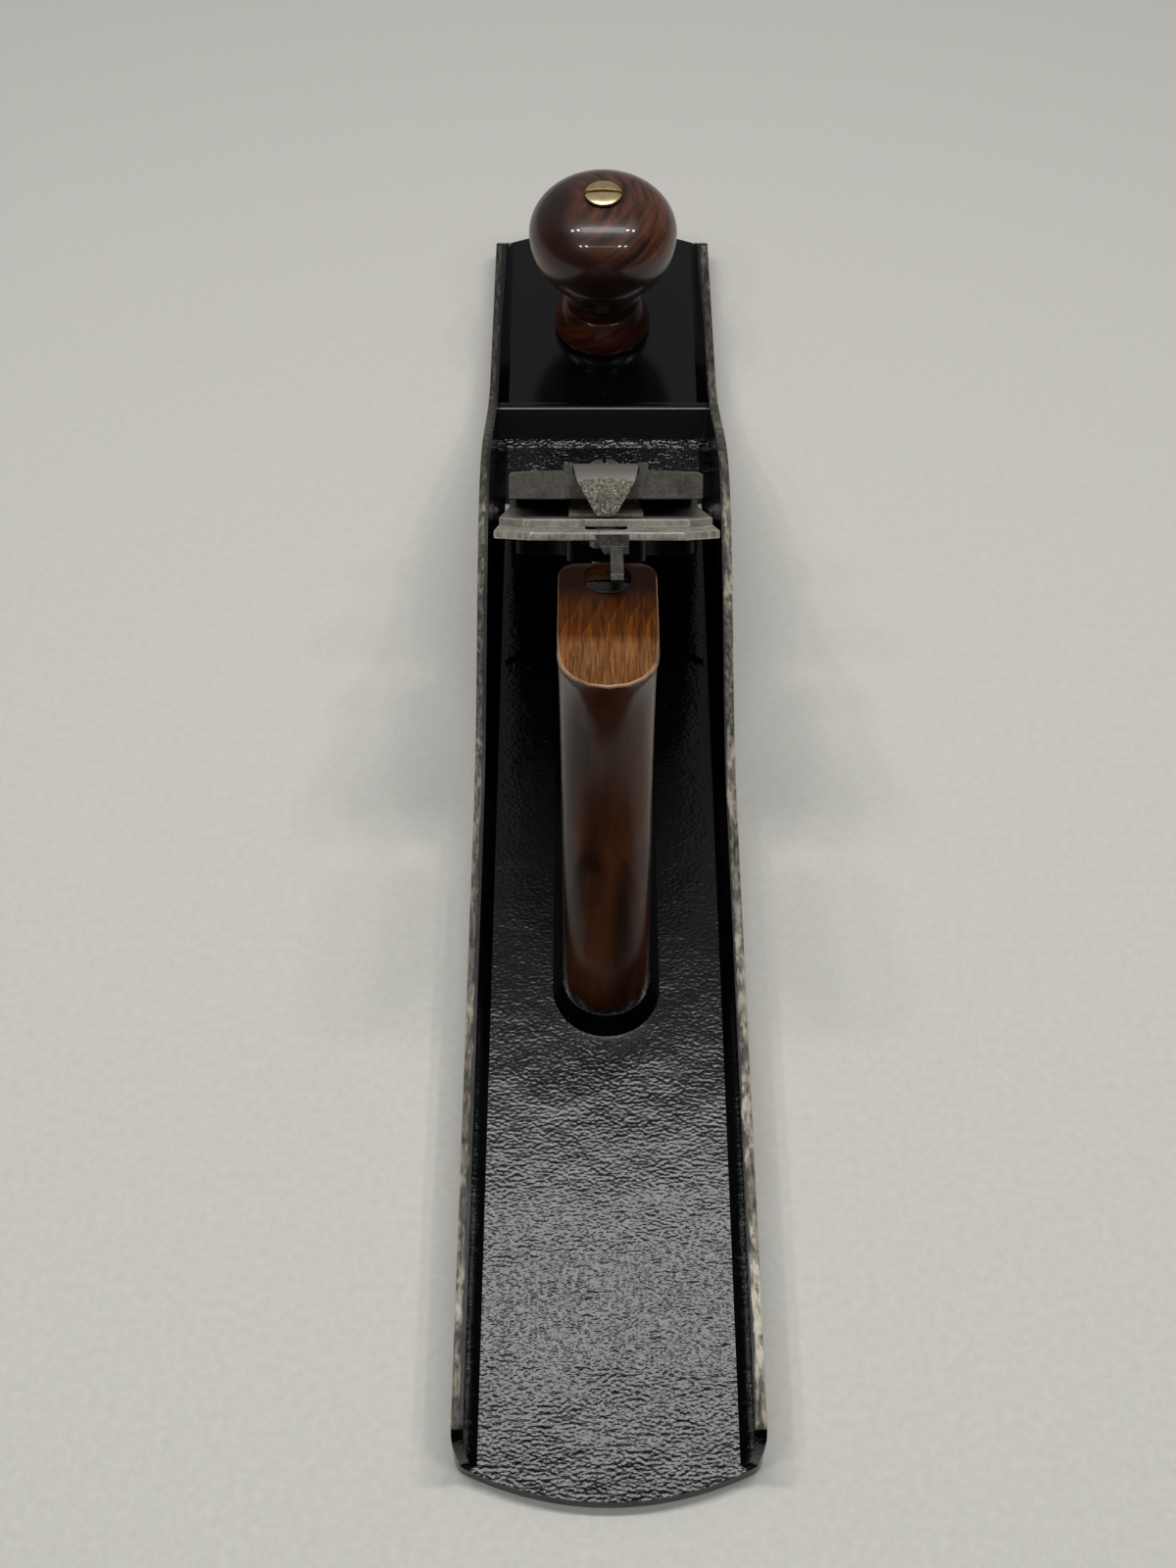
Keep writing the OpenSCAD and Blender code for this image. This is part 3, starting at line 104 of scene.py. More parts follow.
def add_node(tree, kind, inputs=(), output=0, **settings):
    """Adds a shader node and gives back one of its outputs. The inputs are a list in the node's order, or
    a dictionary by name or number, and each is a value or another node's output."""
    node = tree.nodes.new("ShaderNode" + kind)
    for key, value in settings.items():
        setattr(node, key, value)
    pairs = inputs.items() if isinstance(inputs, dict) else enumerate(inputs)
    for key, value in pairs:
        if isinstance(value, bpy.types.NodeSocket):
            tree.links.new(value, node.inputs[key])
        else:
            node.inputs[key].default_value = value
    return node.outputs[output] if len(node.outputs) else None


def start_material(name):
    material = bpy.data.materials.new(name)
    material.use_nodes = True
    tree = material.node_tree
    tree.nodes.clear()
    return material, tree, add_node(tree, "TexCoord", output="Object")


def finish_material(material, tree, inputs):
    add_node(tree, "OutputMaterial", {"Surface": add_node(tree, "BsdfPrincipled", inputs)})
    return material


def grain(tree, place, per_metre, detail=3, rough=0.5, stretch=(1, 1, 1)):
    """An uneven pattern with so many bumps to the metre, drawn out along the axes whose stretch is low."""
    drawn_out = add_node(tree, "Mapping", {"Vector": place, "Scale": stretch})
    return add_node(
        tree, "TexNoise", {"Vector": drawn_out, "Scale": per_metre, "Detail": detail, "Roughness": rough}
    )


def distance(tree, place, way, start=0.0):
    """How far a place lies along a direction, in metres, less a start."""
    length = add_node(tree, "VectorMath", (place, way), "Value", operation="DOT_PRODUCT")
    return add_node(tree, "Math", (length, start), operation="SUBTRACT")


def between(tree, place, way, low, high, at_low=0.0, at_high=1.0):
    """A value that changes evenly between two distances along a direction, in metres."""
    return add_node(tree, "MapRange", (distance(tree, place, way), low, high, at_low, at_high))


def coats(tree, base, *layers):
    """Lays colours over a base, each as far as its mask says. A colour is sRGB hex or an output."""
    for mask, top in layers:
        below, above = (colour(c) if isinstance(c, str) else c for c in (base, top))
        sockets = {"Factor": mask, MIX_BELOW: below, MIX_ABOVE: above}
        base = add_node(tree, "Mix", sockets, MIX_RESULT, data_type="RGBA")
    return base


def japanned_iron():
    """Black japanning. Over the rough casting behind the frog it has pebbles about 0.9 mm across and wider
    than long, which break the lamp's reflection into sparkles, and in the throat they are deeper. The toe
    and the rib are nearly smooth. A few grey specks are painted in, partly as wear and partly as painted
    glints."""
    material, tree, place = start_material("glossy black japanning on cast iron")
    tote_y = (-165 * MM, -100 * MM)
    throat_y = (100 * MM, 108 * MM)
    rib_y = (122 * MM, 126 * MM)
    floor_z = (5.0 * MM, 6.2 * MM)
    pebbles = grain(tree, place, 1150, 1, 0.3, (0.72, 1, 1))
    waves = grain(tree, place, 330, 1)
    swells = grain(tree, place, 70, 1)
    height = add_node(tree, "Math", (waves, 0.9, pebbles), operation="MULTIPLY_ADD")
    height = add_node(tree, "Math", (swells, 3.5, height), operation="MULTIPLY_ADD")
    behind_tote = between(tree, place, FORWARD, *tote_y, 1, 0.6)
    behind_throat = between(tree, place, FORWARD, *throat_y, 1, 0)
    behind = add_node(tree, "Math", (behind_tote, behind_throat), operation="MULTIPLY")
    past_throat = between(tree, place, FORWARD, *throat_y, 0, 3)
    behind_rib = between(tree, place, FORWARD, *rib_y, 1, 0)
    on_floor = between(tree, place, UP, *floor_z, 1, 0)
    throat = add_node(tree, "Math", (past_throat, behind_rib), operation="MULTIPLY")
    throat = add_node(tree, "Math", (throat, on_floor), operation="MULTIPLY")
    amount = add_node(tree, "Math", (behind, throat), operation="MAXIMUM")
    amount = add_node(tree, "Math", (amount, 0.03), operation="MAXIMUM")
    depth = add_node(tree, "Math", (amount, 0.12 * MM), operation="MULTIPLY")
    # Grey specks: partly wear, partly painted glints on the black
    specks = add_node(tree, "MapRange", (grain(tree, place, 520, 2, 0.6), 0.75, 0.765))
    return finish_material(
        material,
        tree,
        {
            "Base Color": coats(tree, "030405", (specks, "3a3a38")),
            "Roughness": 0.15,
            "Normal": add_node(tree, "Bump", {"Height": height, "Distance": depth, "Strength": 1}),
        },
    )


def frog_black():
    """Black japanning on the frog, dulled by use, so it stays black beside the bright iron."""
    material, tree, place = start_material("dulled black japanning")
    smudges = add_node(tree, "MapRange", (grain(tree, place, 300), 0.4, 0.7))
    base = coats(tree, "040506", (smudges, "0b0b0c"))
    return finish_material(material, tree, {"Base Color": base, "Roughness": 0.4, "Specular IOR Level": 0.08})


def bare_iron():
    """Ground bare iron: brownish grey with fine lines along the body, dark stains, and bright worn
    patches that are more frequent on the right-hand side and towards the heel. Black japanning laps over
    the inner edge of the wall tops with a ragged line, further in on the left."""
    material, tree, place = start_material("ground bare iron")
    lines = grain(tree, place, 1500, 3, 0.6, (1, 0.09, 1))
    stains = grain(tree, place, 700, 4, 0.7, (1, 0.3, 1))
    worn = grain(tree, place, 120, 4, 0.7, (1, 0.35, 1))
    to_the_right = between(tree, place, ACROSS, -0.03, 0.03, -0.07, 0)
    to_the_heel = between(tree, place, FORWARD, -0.2, 0.05, 0.05, -0.02)
    worn = add_node(tree, "Math", (worn, to_the_right), operation="ADD")
    worn = add_node(tree, "Math", (worn, to_the_heel), operation="ADD")
    iron = coats(
        tree,
        "38342e",
        (add_node(tree, "MapRange", (lines, 0.35, 0.65)), "777167"),
        (add_node(tree, "MapRange", (worn, 0.47, 0.62)), "a09a8d"),
        (add_node(tree, "MapRange", (stains, 0.48, 0.6, 0, 0.75)), "332e29"),
    )
    ragged = grain(tree, place, 260, 4, 0.65, (1, 0.4, 1))
    ragged = add_node(tree, "MapRange", (ragged, 0.3, 0.7, -0.5 * MM, 0.5 * MM))
    across = add_node(tree, "Math", (distance(tree, place, ACROSS), ragged), operation="ADD")
    inner = (BODY_W / 2 - WALL_T) * MM
    right = add_node(tree, "MapRange", (across, inner + 0.3 * MM, inner + 0.7 * MM))
    left = add_node(tree, "MapRange", (across, -inner - 1.3 * MM, -inner - 0.9 * MM, 1, 0))
    sole = between(tree, place, UP, 2 * MM, 3 * MM, 1, 0)
    bare = add_node(tree, "Math", (right, left), operation="MAXIMUM")
    bare = add_node(tree, "Math", (bare, sole), operation="MAXIMUM")
    return finish_material(
        material,
        tree,
        {
            "Base Color": coats(tree, "060606", (bare, iron)),
            "Metallic": add_node(tree, "MapRange", (bare, 0, 1, 0, 0.75)),
            "Roughness": add_node(tree, "MapRange", (stains, 0.3, 0.7, 0.4, 0.6)),
            "Normal": add_node(tree, "Bump", {"Height": lines, "Distance": 0.05 * MM, "Strength": 0.5}),
        },
    )


def dull_edge():
    """The casting's rounded edges and ends: black japanning rubbed matt, with brown showing through."""
    material, tree, place = start_material("rubbed black edge")
    rub = add_node(tree, "MapRange", (grain(tree, place, 500, 4, 0.65), 0.45, 0.7))
    base = coats(tree, "0b0a0a", (rub, "37322c"))
    return finish_material(material, tree, {"Base Color": base, "Roughness": 0.5, "Specular IOR Level": 0.25})


def steel(name, dark, light, roughness, metallic=0.85, stretch=(1, 1, 1), stain="2e2a26", stained=0.6):
    """Dull worn steel or bare casting: faint lines 1 mm apart, drawn out along the stretch, and brown
    stains 5 mm across."""
    material, tree, place = start_material(name)
    lines = grain(tree, place, 1100, 4, 0.6, stretch)
    stains = grain(tree, place, 190, 4, 0.6)
    base = coats(
        tree,
        dark,
        (add_node(tree, "MapRange", (lines, 0.3, 0.7)), light),
        (add_node(tree, "MapRange", (stains, 0.52, 0.74, 0, stained)), stain),
    )
    return finish_material(
        material,
        tree,
        {
            "Base Color": base,
            "Metallic": metallic,
            "Roughness": roughness,
            "Normal": add_node(tree, "Bump", {"Height": lines, "Distance": 0.04 * MM, "Strength": 0.6}),
        },
    )


def cast_lever():
    """Bare casting of the cam lever: a band rubbed smooth by the thumb across its top, coarse brown grain
    below it, and bright worn specks towards its tip."""
    material, tree, place = start_material("grainy bare casting")
    edge_height = EDGE_Y * MM * BED_NORMAL[1]
    band_dip = 15
    band_z = (12.8 * MM, 13.6 * MM)
    tip_z = (2.5 * MM, 6 * MM)
    casting = grain(tree, place, 1700, 2, 0.6)
    height = distance(tree, place, BED_NORMAL, edge_height)
    across = distance(tree, place, ACROSS)
    dip = add_node(tree, "Math", (across, across), operation="MULTIPLY")
    band = add_node(tree, "Math", (dip, band_dip, height), operation="MULTIPLY_ADD")
    polished = add_node(tree, "MapRange", (band, *band_z))
    tip = add_node(tree, "MapRange", (height, *tip_z, 0.08, 0))
    specks = add_node(tree, "Math", (grain(tree, place, 1300, 2, 0.6), tip), operation="ADD")
    base = coats(
        tree,
        "3c382f",
        (add_node(tree, "MapRange", (casting, 0.42, 0.56)), "7a7365"),
        (add_node(tree, "MapRange", (specks, 0.64, 0.69)), "cfcab9"),
        (polished, "6f6c65"),
    )
    depth = add_node(tree, "MapRange", (polished, 0, 1, 1, 0.04))
    return finish_material(
        material,
        tree,
        {
            "Base Color": base,
            "Metallic": 0.35,
            "Roughness": add_node(tree, "MapRange", (polished, 0, 1, 0.6, 0.45)),
            "Normal": add_node(tree, "Bump", {"Height": casting, "Distance": 0.08 * MM, "Strength": depth}),
        },
    )


def brass(name, clear, dull, black_below=None):
    """Old brass: pale and satin where handled, duller and browner in patches 3 mm across. It is black below
    a height in millimetres, as in a nut's slot."""
    material, tree, place = start_material(name)
    tarnish = grain(tree, place, 330, 4, 0.6)
    base = coats(tree, clear, (add_node(tree, "MapRange", (tarnish, 0.4, 0.7)), dull))
    if black_below:
        # Black below the given height, as down in a nut's slot
        blackened = between(tree, place, UP, (black_below - 0.3) * MM, (black_below + 0.1) * MM, 1, 0)
        base = coats(tree, base, (blackened, "140f09"))
    roughness = add_node(tree, "MapRange", (tarnish, 0.3, 0.7, 0.24, 0.4))
    return finish_material(material, tree, {"Base Color": base, "Metallic": 1, "Roughness": roughness})


def blackened_brass():
    """Brass, nearly black all over, with brass showing in specks on its left front quarter."""
    material, tree, place = start_material("brass, nearly black")
    left_front = Vector((-0.8, 0.6, 0))
    middle = left_front.dot(Vector(TOTE_NUT)) * MM
    quarter = between(tree, place, left_front, middle - 4 * MM, middle + 5 * MM, -0.2, 0.2)
    wear = add_node(tree, "Math", (grain(tree, place, 900, 4, 0.65), quarter), operation="ADD")
    bare = add_node(tree, "MapRange", (wear, 0.6, 0.66))
    # Nearly black base, with brass showing in specks on the left front quarter
    base = coats(tree, "0a0807", (bare, "7a5c33"))
    return finish_material(
        material,
        tree,
        {"Base Color": base, "Metallic": bare, "Roughness": 0.34, "Specular IOR Level": 0.3},
    )


def wood(name, dark, mid, light, stretch, turn, gloss, streaks=0.5, warmth=None, coat=0.0, shine=0.5):
    """Wood with its grain along one way: long streaks, pores under 1 mm wide and a slow drift of colour.
    The warmth is a function that adds its own colours and shine."""
    material, tree, place = start_material(name)
    turned = add_node(tree, "Mapping", {"Vector": place, "Rotation": turn})
    warp = grain(tree, turned, 28, 2)
    reach = (11 * MM, 11 * MM, 11 * MM)
    warped = add_node(tree, "VectorMath", (warp, reach, turned), operation="MULTIPLY_ADD")
    bands = grain(tree, warped, 150, 3, 0.55, stretch)
    pores = grain(tree, turned, 900, 3, 0.7, stretch)
    drift = grain(tree, turned, 30, 2)
    base = coats(
        tree,
        dark,
        (add_node(tree, "MapRange", (bands, 0.35, 0.65)), mid),
        (add_node(tree, "MapRange", (drift, 0.45, 0.7, 0, streaks)), light),
    )
    if warmth:
        base, shine = warmth(tree, place, base, shine)
    base = coats(tree, base, (add_node(tree, "MapRange", (pores, 0.58, 0.7, 0, 0.5)), dark))
    return finish_material(
        material,
        tree,
        {
            "Base Color": base,
            "Roughness": gloss,
            "Specular IOR Level": shine,
            "Coat Weight": coat,
            "Coat Roughness": 0.07,
            "Normal": add_node(tree, "Bump", {"Height": pores, "Distance": 0.03 * MM, "Strength": 0.3}),
        },
    )


def knob_figure(tree, place, base, shine):
    """Streaks 1.4 mm apart that climb to the right over the knob's front, strongest at its upper right,
    and an orange patch at its lower left."""
    tilted = add_node(tree, "Mapping", {"Vector": place, "Rotation": (0, 0.42, 0)})
    streaks = grain(tree, tilted, 700, 3, 0.55, (0.09, 0.12, 1))
    red_brown = coats(tree, "23120e", (add_node(tree, "MapRange", (streaks, 0.38, 0.66)), "6a3d26"))
    orange = coats(tree, "3a180c", (add_node(tree, "MapRange", (streaks, 0.4, 0.6)), "6b3015"))
    upper_right = between(tree, place, (0.6, 0, 1), 49 * MM, 59 * MM, 0.03, 0.9)
    lower_left = between(tree, place, (-1, 0, -0.8), -22 * MM, -6 * MM, 0, 0.8)
    return coats(tree, base, (upper_right, red_brown), (lower_left, orange)), shine


def tote_warmth(tree, place, base, shine):
    """The flat top of the tote: darkened by painted shade forward towards the nut, under the iron, then
    orange brown, and worn greyer at the rear, with growth lines 5.2 mm apart that bend to the right as they
    run forward and fine streaks between them."""
    top_z = TOTE_TOP_Z * MM
    ring_gap = 5.2 * MM
    bend_start = -50 * MM
    bend_rate = 16.5
    rear_y = (-49.7 * MM, -46.2 * MM)
    nut_shade_y = (-44 * MM, -28 * MM)
    top = between(tree, place, (0, TOTE_TOP_FALL, 1), top_z - 0.1 * MM, top_z + 0.3 * MM)
    streaks = grain(tree, place, 1500, 3, 0.6, (1, 0.07, 0.07))
    streaks = add_node(tree, "MapRange", (streaks, 0.35, 0.65))
    forward = distance(tree, place, FORWARD, bend_start)
    forward = add_node(tree, "Math", (forward, 0), operation="MAXIMUM")
    bend = add_node(tree, "Math", (forward, forward), operation="MULTIPLY")
    bend = add_node(tree, "Math", (bend, bend_rate), operation="MULTIPLY")
    across = add_node(tree, "Math", (distance(tree, place, ACROSS), bend), operation="SUBTRACT")
    waver = add_node(tree, "MapRange", (grain(tree, place, 60, 2), 0.3, 0.7, 0, 0.4))
    rings = add_node(tree, "Math", (across, 1 / ring_gap, waver), operation="MULTIPLY_ADD")
    rings = add_node(tree, "Math", (rings, 20), operation="ADD")
    rings = add_node(tree, "Math", (rings,), operation="FRACT")
    front = coats(
        tree,
        "431d05",
        (streaks, "77400b"),
        (add_node(tree, "MapRange", (rings, 0.1, 1, 0, 0.45)), "2a1608"),
    )
    rear = coats(
        tree,
        "593619",
        (streaks, "94633a"),
        (add_node(tree, "MapRange", (rings, 0.1, 1, 0, 0.3)), "4d3322"),
    )
    worn = coats(
        tree,
        front,
        (between(tree, place, FORWARD, *rear_y, 1, 0), rear),
        (add_node(tree, "MapRange", (rings, 0.93, 1, 0, 0.6)), "241206"),
        (add_node(tree, "MapRange", (rings, 0, 0.05, 0.4, 0)), "a06c3c"),
        # Painted shade: the top darkens forward towards the nut, where the iron and lateral lever shade it
        (between(tree, place, FORWARD, *nut_shade_y), "1d0a04"),
    )
    return coats(tree, base, (top, worn)), add_node(tree, "MapRange", (top, 0, 1, shine, 0.1))


def pale_table():
    """Pale matt table, finely mottled, with painted shade that makes it a little greyer towards the toe."""
    material, tree, place = start_material("pale matt table")
    mottle = add_node(tree, "MapRange", (grain(tree, place, 420, 3, 0.6), 0.3, 0.7))
    # Painted shade: the table's colour greys towards the toe in place of the light falling off
    toe_shade = between(tree, place, FORWARD, -0.35, 0.45)
    base = coats(tree, "e4e2da", (mottle, "efede5"), (toe_shade, "cccac3"))
    return finish_material(material, tree, {"Base Color": base, "Roughness": 0.85})


LENGTHWISE = (1, 0.15, 0.15)
EVEN = (1, 1, 1)
JAPANNED = japanned_iron()
FROG_BLACK = frog_black()
BARE = bare_iron()
DULL_EDGE = dull_edge()
IRON_STEEL = steel("dull tool steel", "8a867e", "d2cdc2", 0.45, 0.65, LENGTHWISE, "4a3a2c", 0.95)
CAP_STEEL = steel("dull cap iron steel", "7f7c75", "a5a199", 0.5, 0.55, LENGTHWISE)
WORN_STEEL = steel("worn bright edges", "aaa69b", "e6e2d6", 0.4, 0.7, EVEN, "3a3630", 0.9)
LEVER_CAP = steel("dull bare cast iron", "54524d", "747169", 0.5, 0.7)
CAST_LEVER = cast_lever()
SCREW_STEEL = steel("worn screw steel", "4f4d49", "85827c", 0.38)
SPRING_STEEL = steel("brown spring steel", "6a5f52", "8c8173", 0.45, 0.6)
DARK_STEEL = steel("dark blued steel", "2a2826", "43403c", 0.42)
BRASS = brass("worn brass", "e6cd92", "b3935a")
NUT_BRASS = brass("brass nut, black in its slot", "f2dcab", "cfae74", NUT_SLOT_Z)
DARK_BRASS = blackened_brass()
KNOB_WOOD = wood(
    "polished rosewood",
    "140a08",
    "26120d",
    "42211a",
    (1, 1, 0.16),
    (0.12, 0.5, 0),
    gloss=0.36,
    warmth=knob_figure,
    coat=0.4,
    shine=0.3,
)
TOTE_WOOD = wood(
    "worn tote wood",
    "26140b",
    "4e2c1a",
    "663b24",
    (1, 1, 0.12),
    (0.5, 0, 0),
    gloss=0.26,
    warmth=tote_warmth,
    shine=0.4,
)
WORN_WOOD = wood(
    "tote wood worn at its edges", "55321c", "a8805e", "c9a484", EVEN, (0, 0, 0), gloss=0.4, streaks=1
)


def place_object(name, bm, materials, body, replaced, sharp=30):
    """Makes an object from a finished bmesh, smooth except over sharp edges, in place of CAD nodes."""
    bm.normal_update()
    for face in bm.faces:
        face.smooth = True
    for edge in bm.edges:
        if len(edge.link_faces) == 2 and edge.calc_face_angle() > math.radians(sharp):
            edge.smooth = False
    mesh = bpy.data.meshes.new(name)
    bm.to_mesh(mesh)
    bm.free()
    for material in materials:
        mesh.materials.append(material)
    obj = bpy.data.objects.new(name, mesh)
    scene.collection.objects.link(obj)
    even = obj.modifiers.new("flat faces stay flat", "WEIGHTED_NORMAL")
    even.keep_sharp = True
    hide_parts(*replaced)
    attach(obj, body)


def merged_copy(node):
    """A CAD node's shape as a closed bmesh with its flat faces whole."""
    bm = bmesh.new()
    bm.from_mesh(nodes[node].data)
    bmesh.ops.remove_doubles(bm, verts=bm.verts, dist=2e-6)
    bmesh.ops.dissolve_limit(bm, angle_limit=math.radians(0.6), verts=bm.verts, edges=bm.edges)
    bmesh.ops.recalc_face_normals(bm, faces=bm.faces)
    for face in bm.faces:
        face.material_index = 0
    return bm


def soften(bm, width, segments=2, angle=32, keep=None):
    """Rounds the sharp edges of a bmesh by a width in millimetres and gives back the new faces."""
    bm.normal_update()
    edges = [
        edge
        for edge in bm.edges
        if len(edge.link_faces) == 2
        and edge.calc_face_angle() > math.radians(angle)
        and (keep is None or keep(edge))
    ]
    return bmesh.ops.bevel(
        bm,
        geom=edges,
        offset=width * MM,
        affect="EDGES",
        segments=segments,
        profile=0.5,
        material=-1,
        clamp_overlap=True,
    )["faces"]


def lathe(points, y, z, steps):
    """A ring-shaped solid turned from a closed outline of (radius, height) points in millimetres."""
    bm = bmesh.new()
    verts = [bm.verts.new((r * MM, y * MM, (z + h) * MM)) for r, h in points]
    edges = [bm.edges.new((verts[i], verts[(i + 1) % len(verts)])) for i in range(len(verts))]
    bmesh.ops.spin(
        bm,
        geom=verts + edges,
        cent=(0, y * MM, 0),
        axis=UP,
        angle=2 * math.pi,
        steps=steps,
        use_merge=True,
    )
    bmesh.ops.remove_doubles(bm, verts=bm.verts, dist=1e-6)
    bmesh.ops.recalc_face_normals(bm, faces=bm.faces)
    return bm


def refined(node, material, width, edge_material):
    """A CAD node with its edges rounded by a width in millimetres, and worn where it has a material."""
    bm = merged_copy(node)
    new_faces = soften(bm, width)
    materials = [material]
    if edge_material:
        materials.append(edge_material)
        for face in new_faces:
            face.material_index = WORN_EDGE
    place_object(node + "_piece", bm, materials, body_of[node], [node])


def make_body():
    """The casting: japanned inside, with bare ground wall tops, sides and sole, and rubbed edges."""
    bm = merged_copy("body")
    half = BODY_W / 2 * MM
    wall_end = WALL_END_Y * MM
    near = 0.2 * MM
    for face in bm.faces:
        centre = face.calc_center_median()
        normal = face.normal
        side = abs(normal.x) > 0.9 and abs(centre.x) > half - near
        sole = normal.z < -0.9 and centre.z < near
        on_wall = abs(centre.x) > half - (WALL_T + 0.1) * MM and centre.z > (FLOOR_T + 1) * MM
        top = on_wall and normal.z > 0.2 and abs(centre.y) <= wall_end
        face.material_index = BARE_FACE if side or sole or top else INSIDE
    for face in soften(bm, 0.5, 2, 28):
        centre = face.calc_center_median()
        at_wall = abs(centre.x) > half - (WALL_T + 0.6) * MM
        at_end = abs(centre.y) > wall_end
        if at_end and abs(centre.x) < half - 5 * MM and face.normal.z > 0.3:
            face.material_index = BARE_FACE
        elif at_end or (at_wall and face.normal.z > 0.1):
            face.material_index = RUBBED_EDGE
    place_object("body_casting", bm, [JAPANNED, BARE, DULL_EDGE], body_of["body"], ["body"], 28)


def make_knob():
    """The turned knob: foot, narrow neck with a bead, and a flattened ball with the nut's recess."""
    ball_z = KNOB_H * 0.725
    cap_end = math.radians(78)
    nut_hole = NUT_R + 0.05
    rod_hole = ROD_R + 0.3
    points = [(rod_hole, 5), (8.3, 5), (8.3, 0), (FOOT_R - 0.8, 0), (FOOT_R - 0.2, 0.4), (FOOT_R, 1.2)]
    points += [(FOOT_R, 3), (FOOT_R - 0.5, 5.4), (FOOT_R - 1.2, 7), (FOOT_R - 2.1, 8.6)]
    points += [(NECK_R + 0.8, 10.6), (NECK_R, 11), (NECK_R - 0.2, 13.4), (NECK_R, 15.8)]
    points += [(NECK_R + 1, 16.4), (NECK_R + 1.7, 17.6)]
    for i in range(21):
        a = math.radians(-62 + 62 * i / 20)
        points.append((KNOB_R * math.cos(a) ** 0.9, ball_z + 22 * math.sin(a)))
    for i in range(1, 25):
        a = cap_end * i / 24
        rise = (KNOB_H - ball_z) * math.sin(a) / math.sin(cap_end)
        points.append((KNOB_R * math.cos(a) ** 0.8, ball_z + rise))
    points += [(nut_hole, KNOB_H), (nut_hole, KNOB_H - NUT_H + 1), (rod_hole, KNOB_H - NUT_H + 1)]
    bm = lathe(points, KNOB_Y, FLOOR_T, 128)
    place_object("knob_turning", bm, [KNOB_WOOD], body_of["knob"], ["knob"], 40)


def make_tote():
    """The tote: its top edge is worn pale, most of all round the horn."""
    bm = merged_copy("tote")
    nut = Vector(TOTE_NUT) * MM

    def top_rim(edge):
        middle = (edge.verts[0].co + edge.verts[1].co) / 2
        at_top = middle.z + TOTE_TOP_FALL * middle.y > (TOTE_TOP_Z - 1.5) * MM
        return at_top and (middle.xy - nut.xy).length > UNWORN_R * MM

    def horn_rim(edge):
        return top_rim(edge) and all(vert.co.y < HORN_Y * MM for vert in edge.verts)

    for face in soften(bm, 0.9, 3, 50, horn_rim):
        face.material_index = WORN_EDGE
    for face in soften(bm, 0.35, 2, 50, lambda edge: top_rim(edge) and not horn_rim(edge)):
        face.material_index = WORN_EDGE
    place_object("tote_piece", bm, [TOTE_WOOD, WORN_WOOD], body_of["tote"], ["tote"], 50)


make_body()
make_knob()
for name, material, width, edge_material in (
    ("iron", IRON_STEEL, 0.3, WORN_STEEL),
    ("cap_iron", CAP_STEEL, 0.3, WORN_STEEL),
    ("lever_cap", LEVER_CAP, 0.5, None),
    ("cam_lever", CAST_LEVER, 0.5, None),
    ("lever_cap_spring", SPRING_STEEL, 0.2, None),
    ("lateral_lever", SCREW_STEEL, 0.25, WORN_STEEL),
    ("frog", FROG_BLACK, 0.4, DULL_EDGE),
    ("depth_wheel", BRASS, 0.2, None),
    ("yoke", DARK_STEEL, 0.3, None),
    ("lever_cap_screw", SCREW_STEEL, 0.2, WORN_STEEL),
    ("cap_iron_screw", DARK_STEEL, 0.2, None),
    ("knob_nut", NUT_BRASS, 0.15, None),
    ("tote_nut", DARK_BRASS, 0.15, None),
):
    refined(name, material, width, edge_material)
make_tote()

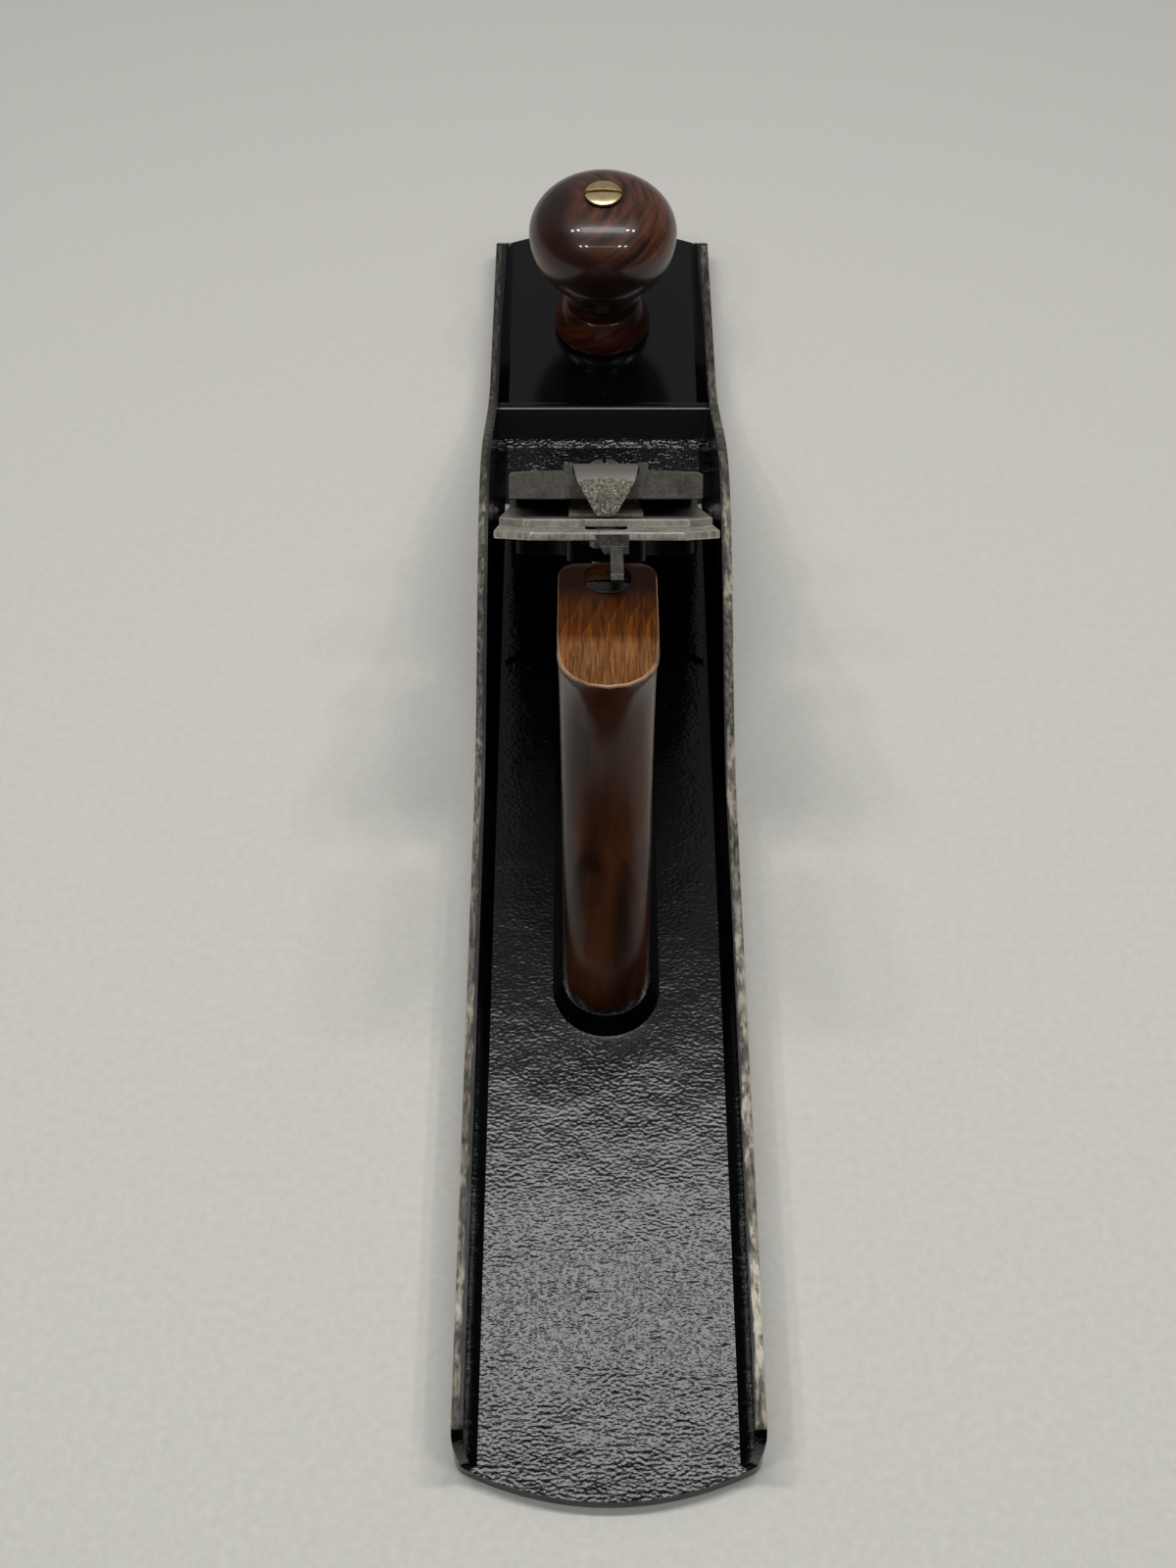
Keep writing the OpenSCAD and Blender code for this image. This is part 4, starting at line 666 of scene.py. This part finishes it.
# The hidden pieces keep their CAD shapes
for name, material in (
    ("knob_rod", SCREW_STEEL),
    ("tote_rod", SCREW_STEEL),
    ("tote_toe_screw", DARK_STEEL),
    ("frog_screws", DARK_STEEL),
    ("frog_washers", DARK_STEEL),
    ("frog_adjusting_screw", DARK_STEEL),
    ("frog_clip", DARK_STEEL),
    ("clip_screw", DARK_STEEL),
    ("depth_stud", SCREW_STEEL),
    ("yoke_pin", SCREW_STEEL),
    ("lateral_rivet", SCREW_STEEL),
    ("lateral_disc", SCREW_STEEL),
    ("spring_rivet", SCREW_STEEL),
    ("cam_pin", SCREW_STEEL),
):
    nodes[name].data.materials.clear()
    nodes[name].data.materials.append(material)

# Table, 6 m wide
floor_bm = bmesh.new()
bmesh.ops.create_grid(floor_bm, x_segments=1, y_segments=1, size=3)
floor_mesh = bpy.data.meshes.new("floor")
floor_bm.to_mesh(floor_mesh)
floor_bm.free()
floor_mesh.materials.append(pale_table())
floor = bpy.data.objects.new("floor", floor_mesh)
scene.collection.objects.link(floor)


def area_light(name, size, place, target, radiance):
    """A rectangular lamp of an even radiance, facing its target."""
    data = bpy.data.lights.new(name, "AREA")
    data.shape = "RECTANGLE"
    data.size, data.size_y = size
    data.energy = radiance * math.pi * size[0] * size[1]
    lamp = bpy.data.objects.new(name, data)
    lamp.location = place
    lamp.rotation_euler = (Vector(target) - Vector(place)).to_track_quat("-Z", "Y").to_euler()
    scene.collection.objects.link(lamp)


# Two rows of lamps a metre up, one over the toe and one over the camera, brightest at their ends.
# The floor behind the tote mirrors the first, and the knob mirrors both.
LAMP_Z = 1.07
OVER_Y = 0.25
BEHIND_Y = -0.4
area_light("row over", (0.8, 0.18), (0, OVER_Y, LAMP_Z), (0, 0.24, 0), 7.5)
area_light("row over glow", (1.1, 0.36), (0, OVER_Y, LAMP_Z + 0.02), (0, 0.24, 0), 1.0)
area_light("row behind", (0.8, 0.07), (0, BEHIND_Y, LAMP_Z), (0, 0.1, 0), 3)
for x, y in ((0.46, OVER_Y), (0.62, OVER_Y), (0.44, BEHIND_Y), (0.63, BEHIND_Y)):
    for side in (-1, 1):
        area_light("row end", (0.06, 0.06), (side * x, y, LAMP_Z), (0, 0.1, 0.05), 65)

# Dark room, a little lighter beyond the toe
world = bpy.data.worlds.new("room")
scene.world = world
world.use_nodes = True
room = world.node_tree
room.nodes.clear()
room_way = add_node(room, "TexCoord", output="Generated")
background = add_node(
    room,
    "Background",
    {"Color": colour("efefef"), "Strength": between(room, room_way, FORWARD, 0, 0.6, 0.02, 0.28)},
)
add_node(room, "OutputWorld", {"Surface": background})
